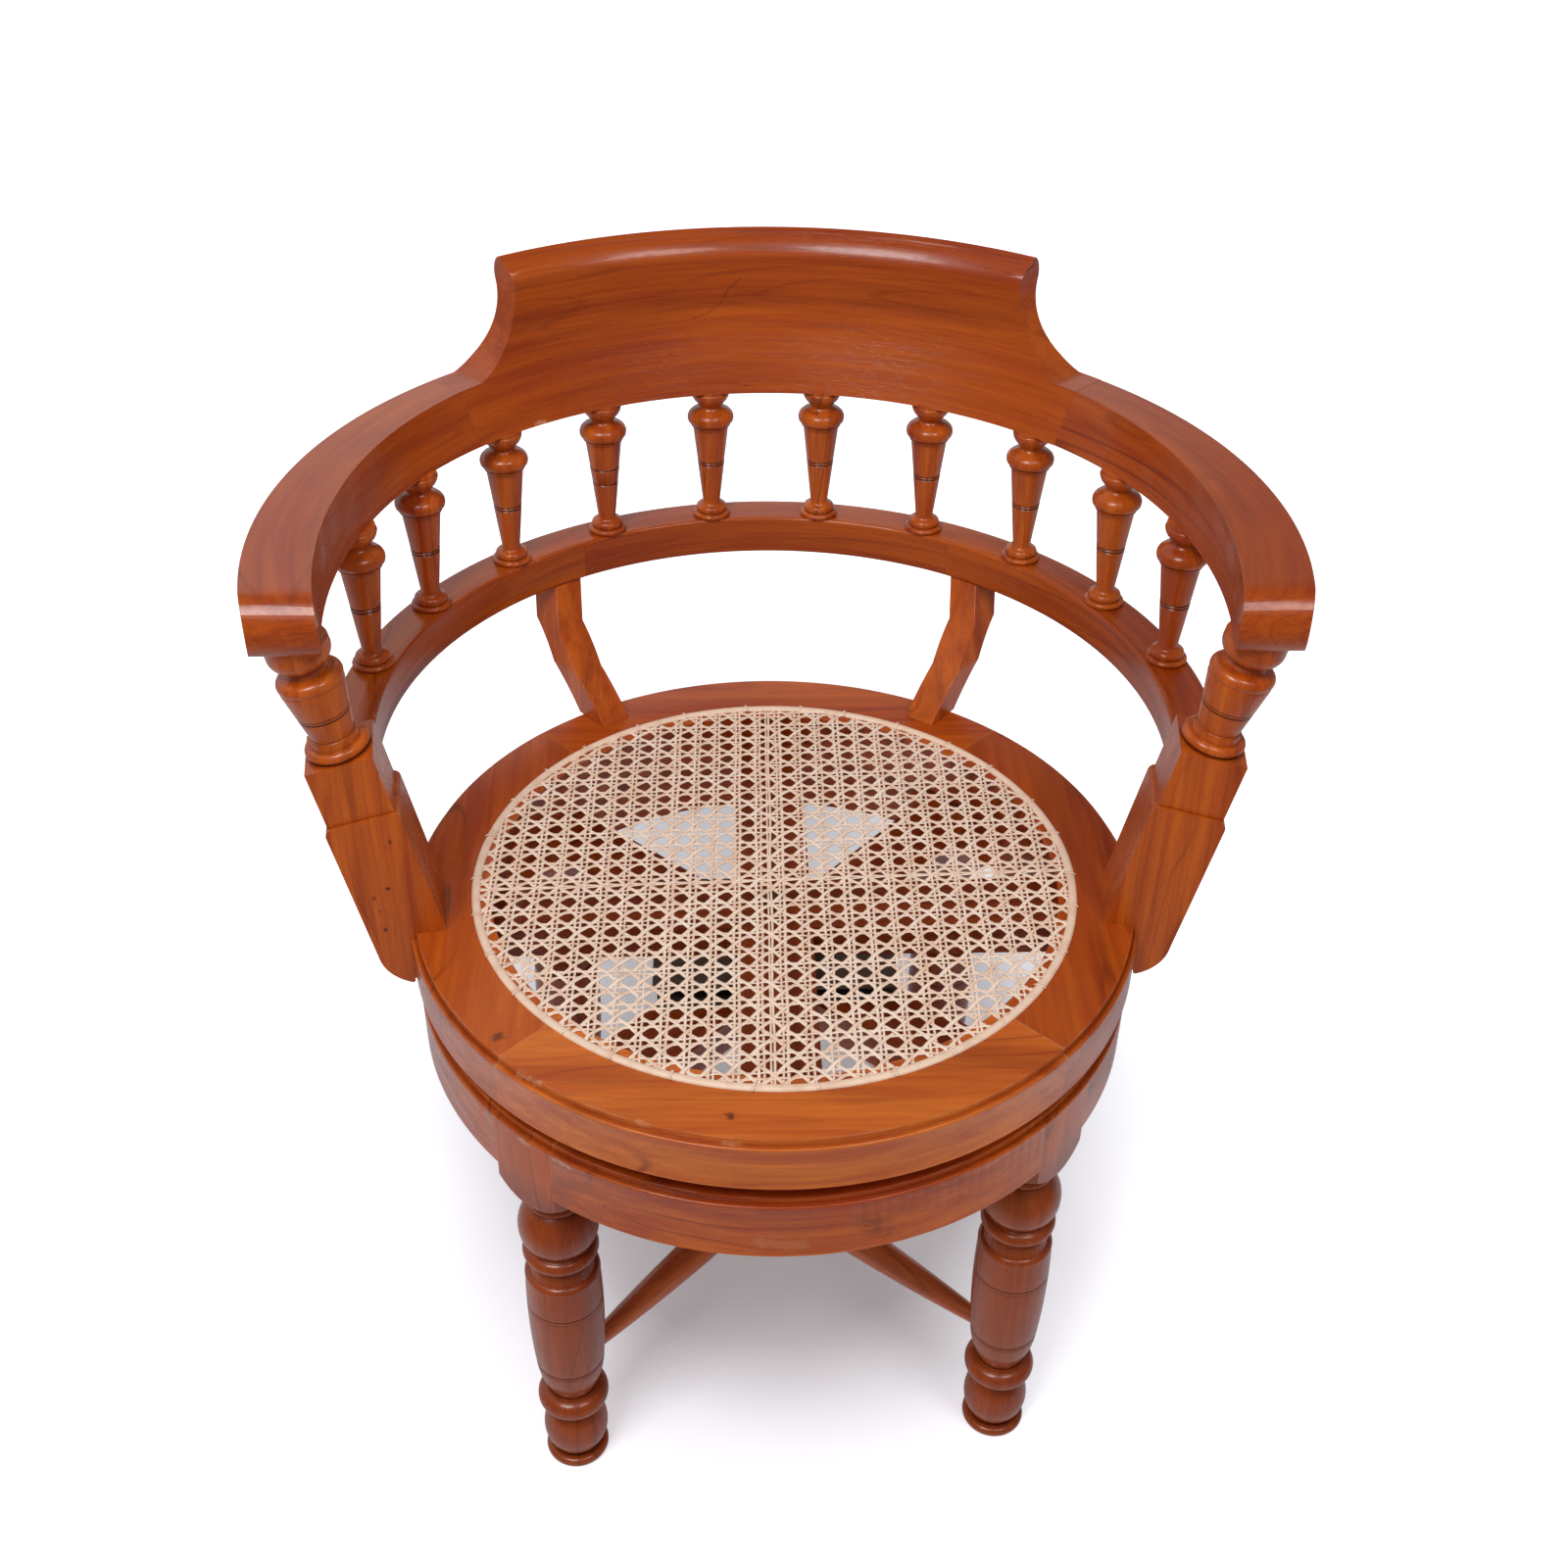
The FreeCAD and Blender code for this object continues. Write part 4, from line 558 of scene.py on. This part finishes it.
def diagonal_weave(name, lean, first):
    """Single strands that cross the pairs half way along each side of a mesh."""
    step = ACROSS + AWAY * lean
    lines = []
    for i in range(-2 * MESHES, 2 * MESHES):
        drift = rng.uniform(-DIAGONAL_STRAY, DIAGONAL_STRAY)
        lines.append((CANE_MIDDLE + ACROSS * (i + 0.5) + ACROSS.normalized() * drift, first))
    rises = (DIAGONAL_RISE, 0, -DIAGONAL_RISE, 0)
    reach = range(-5 * MESHES, 5 * MESHES + 1)
    crossings = [(i * step.length / 4, rises[i % 4]) for i in reach]
    woven(name, step.normalized(), lines, crossings, DIAGONAL_WIDE)


pair_weave("cane_front_to_back", ACROSS, AWAY, PAIR_ACROSS, PAIR_AWAY, 1)
pair_weave("cane_side_to_side", AWAY, ACROSS, PAIR_AWAY, PAIR_ACROSS, -1)
diagonal_weave("cane_rising_diagonals", 1, 1)
diagonal_weave("cane_falling_diagonals", -1, -1)


# Binding: a flat strip of wider cane laid over the ends of the weave, round the edge of the
# opening, and tied down by loops of thin cane every few holes.
binding_low, binding_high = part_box("cane_binding")
BINDING_OUT = (binding_high.x - binding_low.x) / 2
BINDING_WIDE = 0.0065
BINDING_TALL = binding_high.z - binding_low.z
BINDING_SUNK = 0.0004
BINDING_TONE = 0.8
BINDING_STEPS = 160
SEAM_MERGE = 0.00001
TIES = 30
TIE_TONES = (0.5, 1.0)
TIE_STRAY = 0.12
TIE_SKEW = 0.0012
TIE_PAST = 0.0012
TIE_FLAT = 0.55
TIE_CROWN = 1.15
TIE_FALL = 1.5
TIE_WIDE = 0.0020
TIE_THICK = 0.0005
rim = SWIVEL + Vector((0, 0, binding_low.z))


def spun(outline, middle, steps, closed=False):
    """An outline of (radius, height) corners turned a full circle about an upright axis."""
    shape = bmesh.new()
    corners = [shape.verts.new(middle + Vector((radius, 0, height))) for radius, height in outline]
    ends = corners[1:] + corners[:1] if closed else corners[1:]
    edges = [shape.edges.new(pair) for pair in zip(corners, ends)]
    bmesh.ops.spin(
        shape,
        geom=corners + edges,
        cent=middle,
        axis=(0, 0, 1),
        angle=math.tau,
        steps=steps,
        use_merge=True,
    )
    bmesh.ops.remove_doubles(shape, verts=shape.verts, dist=SEAM_MERGE)
    bmesh.ops.recalc_face_normals(shape, faces=shape.faces)
    return shape


strip = spun(
    [
        (BINDING_OUT - BINDING_WIDE, -BINDING_SUNK),
        (BINDING_OUT, -BINDING_SUNK),
        (BINDING_OUT, BINDING_TALL * 0.4),
        (BINDING_OUT - BINDING_WIDE * 0.25, BINDING_TALL),
        (BINDING_OUT - BINDING_WIDE * 0.75, BINDING_TALL),
        (BINDING_OUT - BINDING_WIDE, BINDING_TALL * 0.4),
    ],
    rim,
    BINDING_STEPS,
    closed=True,
)
tones = strip.verts.layers.float.new("strand_tone")
for v in strip.verts:
    v[tones] = BINDING_TONE
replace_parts(shown("binding_strip", strip, "seat", cane), "cane_binding")

ties = bmesh.new()
tones = ties.verts.layers.float.new("strand_tone")
for i in range(TIES):
    turn = math.tau * (i + rng.uniform(-TIE_STRAY, TIE_STRAY)) / TIES
    skew = rng.uniform(-TIE_SKEW, TIE_SKEW)
    tone = rng.uniform(*TIE_TONES)
    grid = bmesh.ops.create_grid(ties, x_segments=6, y_segments=1, size=0.5)
    for v in grid["verts"]:
        share = v.co.x * 2
        radius = BINDING_OUT - BINDING_WIDE / 2 + share * (BINDING_WIDE / 2 + TIE_PAST)
        height = BINDING_TALL * (TIE_CROWN - TIE_FALL * max(abs(share) - TIE_FLAT, 0))
        beside = v.co.y * TIE_WIDE + share * skew
        v.co = Matrix.Rotation(turn, 3, "Z") @ Vector((radius, beside, height + TIE_THICK)) + rim
        v[tones] = tone
thickened(shown("binding_ties", ties, "seat", cane), TIE_THICK, "cane_binding")


# Base: four curved rails of teak let in between the heads of the legs, with the same moulding
# as the seat ring. The front one is smudged and scuffed by shoes.
BASE_MARKS = {
    "front": (
        (((0.0518, -0.3300, 0.3684), (0.0608, -0.3281, 0.3610)), 0.0090, GRIME_AND_SHADE, 0.22),
        (((0.0608, -0.3281, 0.3610), (0.0693, -0.3260, 0.3533)), 0.0100, GRIME_AND_SHADE, 0.25),
        (((-0.0170, -0.3344, 0.3526), (0.0113, -0.3347, 0.3502)), 0.0070, BARE_AND_HIGHLIGHT, 0.18),
        (((-0.1560, -0.2850, 0.3835), (-0.1450, -0.2930, 0.3831)), 0.0030, BARE_AND_HIGHLIGHT, 0.60),
    ),
}
BASE_TURN = 3.3
for number, side in enumerate(("front", "right", "back", "left")):
    along = BASE_TURN + 90 * (number % 2)
    marks = BASE_MARKS.get(side, ())
    wood = teak(f"base_rail_{side}_teak", POLISHED, along, 0.8, 5.17 + number, 0.42, marks=marks)
    eased(f"base_rail_{side}", "base", wood, EASE)


# Legs and crossed stretchers: turned from square teak, with the grain along their length, and
# darker than the rings. Pairs of lines are scribed round the barrel of each leg while it spins,
# and the square head above is left as wide as the blank.
UPRIGHT = Vector((0, 0, 1))
SCRIBE_HALF = 0.0008
SCRIBE_DEEP = 0.0008
SCRIBE_FIND = 0.000002
TURNED_SHARP = math.radians(35)
# Paler, pinker shades for the stretchers: painted light, standing in for light bounced up from the
# floor into the shade under the seat.
STRETCHER_LIT_SHADES = ((0.70, 0.17, 0.045, 1), (0.42, 0.078, 0.020, 1), (0.17, 0.028, 0.008, 1))
LEG_EASE = 0.0006
STRETCHER_EASE = 0.0004
LEG_HEAD = (0.325, 0.350, POLISHED)
LEG_CHIP = (((-0.1800, -0.2665, 0.3826), (-0.1740, -0.2710, 0.3826)), 0.0030, BARE_AND_HIGHLIGHT, 0.60)
LEG_SCRIBES = ((0.1165, 0.5), (0.1195, 1.0), (0.1875, 0.5), (0.1905, 1.0))


def scored(shape, place, facing):
    """Parts every face that a plane crosses, and keeps both sides."""
    bmesh.ops.bisect_plane(
        shape,
        geom=shape.verts[:] + shape.edges[:] + shape.faces[:],
        dist=0.0000001,
        plane_co=place,
        plane_no=facing,
    )


def turned(cad_name, body, finish, ease, scribes=(), foot=Vector(), lean=UPRIGHT):
    """A turned piece, its edges eased and its lines scribed at heights along its axis."""
    shape = merged(cad_name)
    arrises = [
        edge
        for edge in shape.edges
        if len(edge.link_faces) == 2 and edge.calc_face_angle() > ARRIS
    ]
    bmesh.ops.bevel(
        shape,
        geom=arrises,
        offset=ease,
        offset_type="OFFSET",
        segments=2,
        profile=0.5,
        affect="EDGES",
        material=-1,
        clamp_overlap=True,
    )
    scribed = shape.verts.layers.float.new("scribed")
    for height, depth in scribes:
        middle = foot + lean * height
        for step in (-SCRIBE_HALF, SCRIBE_HALF, 0):
            scored(shape, middle + lean * step, lean)
        loop = [v for v in shape.verts if abs((v.co - middle).dot(lean)) < SCRIBE_FIND]
        centre = sum((v.co for v in loop), Vector()) / len(loop)
        for v in loop:
            v.co -= (v.co - centre).normalized() * SCRIBE_DEEP * depth
            v[scribed] = depth
    piece = shown(f"{cad_name}_finished", shape, body, finish)
    piece.data.set_sharp_from_angle(angle=TURNED_SHARP)
    piece.modifiers.new("even_normals", "WEIGHTED_NORMAL").keep_sharp = True
    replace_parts(piece, cad_name)


for number, corner in enumerate(("front_left", "front_right", "back_right", "back_left")):
    marks = (LEG_CHIP,) if corner == "front_left" else ()
    start = 9.7 + number * 1.3
    wood = teak(
        f"leg_{corner}_teak", DARK, None, 0.8, start, stripe=0.45, marks=marks, head=LEG_HEAD
    )
    turned(f"leg_{corner}", "base", wood, LEG_EASE, LEG_SCRIBES)
# The stretchers take the painted light shades, so they are drawn paler than the rings.
for level, along in (("lower", 45 + BASE_TURN), ("upper", 135 + BASE_TURN)):
    wood = teak(f"stretcher_{level}_teak", STRETCHER_LIT_SHADES, along, 0.6, 15.1 + along)
    turned(f"stretcher_{level}", "base", wood, STRETCHER_EASE)


# Crossed bearers and the swivel between them: plain sawn bars of teak halved over each other,
# and two pressed steel plates that hold a ring of balls, screwed to the bars and rusted.
for name, body, slot, along in (
    ("base_bar_lower", "base", "dark_teak", 45 + BASE_TURN),
    ("base_bar_upper", "base", "dark_teak", 135 + BASE_TURN),
    ("seat_bar_front_back", "seat", "polished_teak", 90),
    ("seat_bar_left_right", "seat", "polished_teak", 0),
):
    wood = teak(f"{name}_teak", DARK, along, 0.5, 21.0 + len(name))
    eased(name, body, wood, EASE)

steel, tree, shader = finish_named("worn_steel")
where = node(tree, "TexCoord", {}).outputs["Object"]
rust = node(tree, "TexNoise", {"Vector": where, "Scale": 70.0, "Detail": 5.0}).outputs["Fac"]
rusty = ranged(tree, rust, 0.5, 0.68)
metal = blended(tree, rusty, (0.17, 0.14, 0.11, 1), (0.12, 0.07, 0.04, 1))
tree.links.new(metal, shader.inputs["Base Color"])
tree.links.new(ranged(tree, rusty, 0, 1, 0.6, 0.3), shader.inputs["Metallic"])
tree.links.new(ranged(tree, rusty, 0, 1, 0.38, 0.8), shader.inputs["Roughness"])
dowel_wood = teak("dowel_teak", DARK, None, 0.3, 30.0)
STEEL = (
    "swivel_lower_plate",
    "swivel_upper_plate",
    "lower_plate_screws",
    "upper_plate_screws",
    "swivel_balls",
    "swivel_ball_cage",
    "seat_bar_screws",
    "front_post_screws",
    "pivot_bolt",
    "pivot_nut",
    "pivot_washer",
)
DOWELS = ("base_ring_dowels", "seat_ring_dowels", "lower_hoop_dowels", "arm_dowels")
for names, finish in ((STEEL, steel), (DOWELS, dowel_wood)):
    for name in names:
        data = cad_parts[name].data
        data.materials.clear()
        data.materials.append(finish)


# Front posts: sawn square below, lapped over the seat ring and screwed to it, and turned above,
# with a pair of lines scribed round the drum. They lean out to meet the arms, and old nails show
# in the left one.
POST_LEAN = math.radians(11.5)
POST_TURN = 8.1
POST_INNER = 0.247
POST_HALF = 0.02675
SEAT_TOP = 0.450
POST_START = POST_INNER + POST_HALF * math.cos(POST_LEAN)
POST_FOOT = SEAT_TOP - POST_HALF * math.sin(POST_LEAN)
POST_SCRIBES = ((0.1905, 1.0), (0.1930, 0.6))
NAIL_HEAD = Vector((0, 0, 0.0005))
NAILS = (
    ((-0.2714, -0.1289, 0.5348), 0.80),
    ((-0.2773, -0.1297, 0.4940), 0.85),
    ((-0.2876, -0.1312, 0.4864), 0.85),
    ((-0.2851, -0.1308, 0.4733), 0.40),
    ((-0.2836, -0.1306, 0.4564), 0.80),
)
for number, (side, azimuth) in enumerate((("left", 180 + POST_TURN), ("right", -POST_TURN))):
    marks = []
    for nail, depth in NAILS if side == "left" else ():
        marks.append(((nail, Vector(nail) + NAIL_HEAD), 0.0018, GRIME_AND_SHADE, depth))
    wood = teak(f"front_post_{side}_teak", POLISHED, None, 0.6, 33.0 + number * 2.1, marks=marks)
    out = Vector((math.cos(math.radians(azimuth)), math.sin(math.radians(azimuth)), 0))
    foot = SWIVEL + out * POST_START + Vector((0, 0, POST_FOOT))
    lean = out * math.sin(POST_LEAN) + Vector((0, 0, math.cos(POST_LEAN)))
    turned(f"front_post_{side}", "seat", wood, EASE, POST_SCRIBES, foot, lean)


# Rear knees: brackets sawn from teak board, tenoned into the seat ring and the lower hoop. They
# were set by eye, closer together than square to the hoop, and nearly upright above their bend.
KNEE_SHIFT = 0.005
KNEE_DRIFT = 0.021
KNEE_BEND = 0.486
HOOP_SLANT = 0.87
for number, (side, inward) in enumerate((("left", 1), ("right", -1))):
    name = f"rear_knee_{side}"
    wood = teak(f"{name}_teak", POLISHED, None, 0.5, 41.0 + number * 1.9)
    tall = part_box(name)[1].z
    knee = merged(name)
    scored(knee, (0, 0, KNEE_BEND), UPRIGHT)
    for v in knee.verts:
        drift = KNEE_SHIFT + KNEE_DRIFT * max(v.co.z - KNEE_BEND, 0) / (tall - KNEE_BEND)
        v.co += Vector((inward, HOOP_SLANT, 0)) * drift
    eased(name, "seat", wood, EASE * 1.5, knee)


# Lower hoop: three curved lengths of teak dowelled end to end behind the knees, flat on top,
# with the ends let into the front posts.
HOOP_BEND = (0.309, -0.015)
for number, side in enumerate(("left", "back", "right")):
    wood = teak(f"lower_hoop_{side}_teak", RED, start=47.0 + number * 1.7, bent=HOOP_BEND)
    eased(f"lower_hoop_{side}", "seat", wood, EASE * 0.6)


# Balusters: ten teak spindles, turned and tenoned between the hoop and the arms. Each has a
# rounded foot, a long taper with two scribed lines, a fat bead and a small cup under the arm.
HOOP_TOP = 0.573
BALUSTER_STEPS = 64
BALUSTER_SHARP = math.radians(38)
CRACK = (((-0.0477, 0.2667, 0.6619), (-0.0535, 0.2818, 0.5942)), 0.0008, GRIME_AND_SHADE, 0.8)
CRACKED = 5
HIGH_LINES = (0.0500, 0.0526)
ODD_LINES = (0.0460, 0.0600)
ODD = 4
TAPER_FOOT = (0.0074, 0.0145)
TAPER_HEAD = (0.0150, 0.0840)
BALUSTER_FOOT = [
    (0, -0.002), (0.0130, -0.002), (0.0142, 0), (0.0156, 0.0012), (0.0160, 0.0024),
    (0.0156, 0.0036), (0.0143, 0.0045), (0.0124, 0.0049), (0.0131, 0.0061), (0.0132, 0.0078),
    (0.0126, 0.0094), (0.0112, 0.0105), (0.0095, 0.0109), (0.0079, 0.0124),
]
BALUSTER_HEAD = [
    (0.0150, 0.0846), (0.0164, 0.0848), (0.0168, 0.0856), (0.0166, 0.0864), (0.0160, 0.0867),
    (0.0176, 0.0874), (0.0190, 0.0890), (0.0195, 0.0912), (0.0193, 0.0934), (0.0183, 0.0956),
    (0.0164, 0.0974), (0.0138, 0.0988), (0.0112, 0.1000), (0.0098, 0.1012), (0.0093, 0.1026),
    (0.0101, 0.1042), (0.0120, 0.1060), (0.0139, 0.1082), (0.0152, 0.1106), (0.0158, 0.1128),
    (0.0160, 0.1140), (0.0156, 0.1150), (0.0150, 0.1154), (0.0150, 0.1180), (0, 0.1180),
]
for number in range(1, 11):
    name = f"baluster_{number:02d}"
    marks = (CRACK,) if number == CRACKED else ()
    wood = teak(f"{name}_teak", POLISHED, None, 0.7, 53.0 + number * 0.83, marks=marks)
    low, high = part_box(name)
    axis = Vector(((low.x + high.x) / 2, (low.y + high.y) / 2, HOOP_TOP))
    grooves = []
    for height in ODD_LINES if number == ODD else HIGH_LINES:
        share = (height - TAPER_FOOT[1]) / (TAPER_HEAD[1] - TAPER_FOOT[1])
        radius = TAPER_FOOT[0] + (TAPER_HEAD[0] - TAPER_FOOT[0]) * share
        for step, cut in ((-SCRIBE_HALF, 0), (0, SCRIBE_DEEP), (SCRIBE_HALF, 0)):
            grooves.append((radius - cut, height + step))
    outline = [*BALUSTER_FOOT, TAPER_FOOT, *grooves, TAPER_HEAD, *BALUSTER_HEAD]
    shape = spun(outline, axis, BALUSTER_STEPS)
    scribed = shape.verts.layers.float.new("scribed")
    for v in shape.verts:
        if any(abs(v.co.z - HOOP_TOP - height) < SCRIBE_FIND for _, height in grooves[1::3]):
            v[scribed] = 1.0
    piece = shown(f"{name}_finished", shape, "seat", wood)
    piece.data.set_sharp_from_angle(angle=BALUSTER_SHARP)
    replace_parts(piece, name)


# Arms and crest rail: sawn from thick teak boards and dowelled end to end. The crest stands up
# behind with a scoop at each end, and its front is rolled back at the top, up to a narrow ridge.
BACK_MIDDLE = Vector((0, -0.027, 0))
BACK_BEND = (0.33, BACK_MIDDLE.y)
CREST_FRONT = 0.339
CREST_TOP = 0.812
ROLL_DROP = 0.020
CHAMFER = (0.008, -0.003)
ON_FACE = 0.0005
RIDGE = 0.017
ROLL = ((0.0, -0.0200), (0.0014, -0.0142), (0.0080, -0.0078))
ROLL_CUTS = (19.6, 19.0, 18.2, 17.2, 16.0, 14.5, 12.5, 10.0, 7.5, 5.0, 3.0, 2.4, 1.8, 1.2, 0.6, 0)
GROWTH_LINE = (
    (-0.0208, 0.3095, 0.7758),
    (-0.0321, 0.3069, 0.7668),
    (-0.0378, 0.3037, 0.7564),
    (-0.0484, 0.3001, 0.7494),
    (-0.0621, 0.2968, 0.7465),
)
CREST_MARKS = (
    (GROWTH_LINE, 0.0011, GRIME_AND_SHADE, 0.40),
    (((-0.0302, 0.2784, 0.6978), (-0.0099, 0.2784, 0.6952)), 0.0009, GRIME_AND_SHADE, 0.35),
    (((-0.1853, 0.2139, 0.6919), (-0.1794, 0.2177, 0.6910)), 0.0026, BARE_AND_HIGHLIGHT, 0.5),
)
for number, side in enumerate(("left", "right")):
    start = 67.0 + number * 3.1
    wood = teak(f"arm_{side}_teak", RED, vein=0.8, start=start, bent=BACK_BEND, stripe=0.8)
    eased(f"arm_{side}", "seat", wood, EASE * 2)

crest = merged("crest_rail")
for drop in ROLL_CUTS:
    scored(crest, (0, 0, CREST_TOP - drop / 1000), UPRIGHT)
for v in crest.verts:
    out = Vector((v.co.x, v.co.y - BACK_MIDDLE.y, 0))
    behind = out.length - CREST_FRONT
    rise = v.co.z - CREST_TOP
    chamfered = CHAMFER[0] * (rise + ROLL_DROP) / (CHAMFER[1] + ROLL_DROP)
    if rise < -ROLL_DROP or behind > RIDGE or rise < CHAMFER[1] and behind > chamfered + ON_FACE:
        continue
    if behind <= CHAMFER[0]:
        share = max(behind, 0) / CHAMFER[0]
        parts = ((1 - share) ** 2, 2 * share * (1 - share), share**2)
        behind = sum(part * point[0] for part, point in zip(parts, ROLL))
        rise = sum(part * point[1] for part, point in zip(parts, ROLL))
    else:
        rise = ROLL[2][1] * (RIDGE - behind) / (RIDGE - CHAMFER[0])
    v.co = BACK_MIDDLE + out.normalized() * (CREST_FRONT + behind)
    v.co.z = CREST_TOP + rise
wood = teak(
    "crest_teak", RED, vein=0.3, start=75.0, bent=BACK_BEND, stripe=0.65, marks=CREST_MARKS
)
eased("crest_rail", "seat", wood, EASE * 1.5, crest)
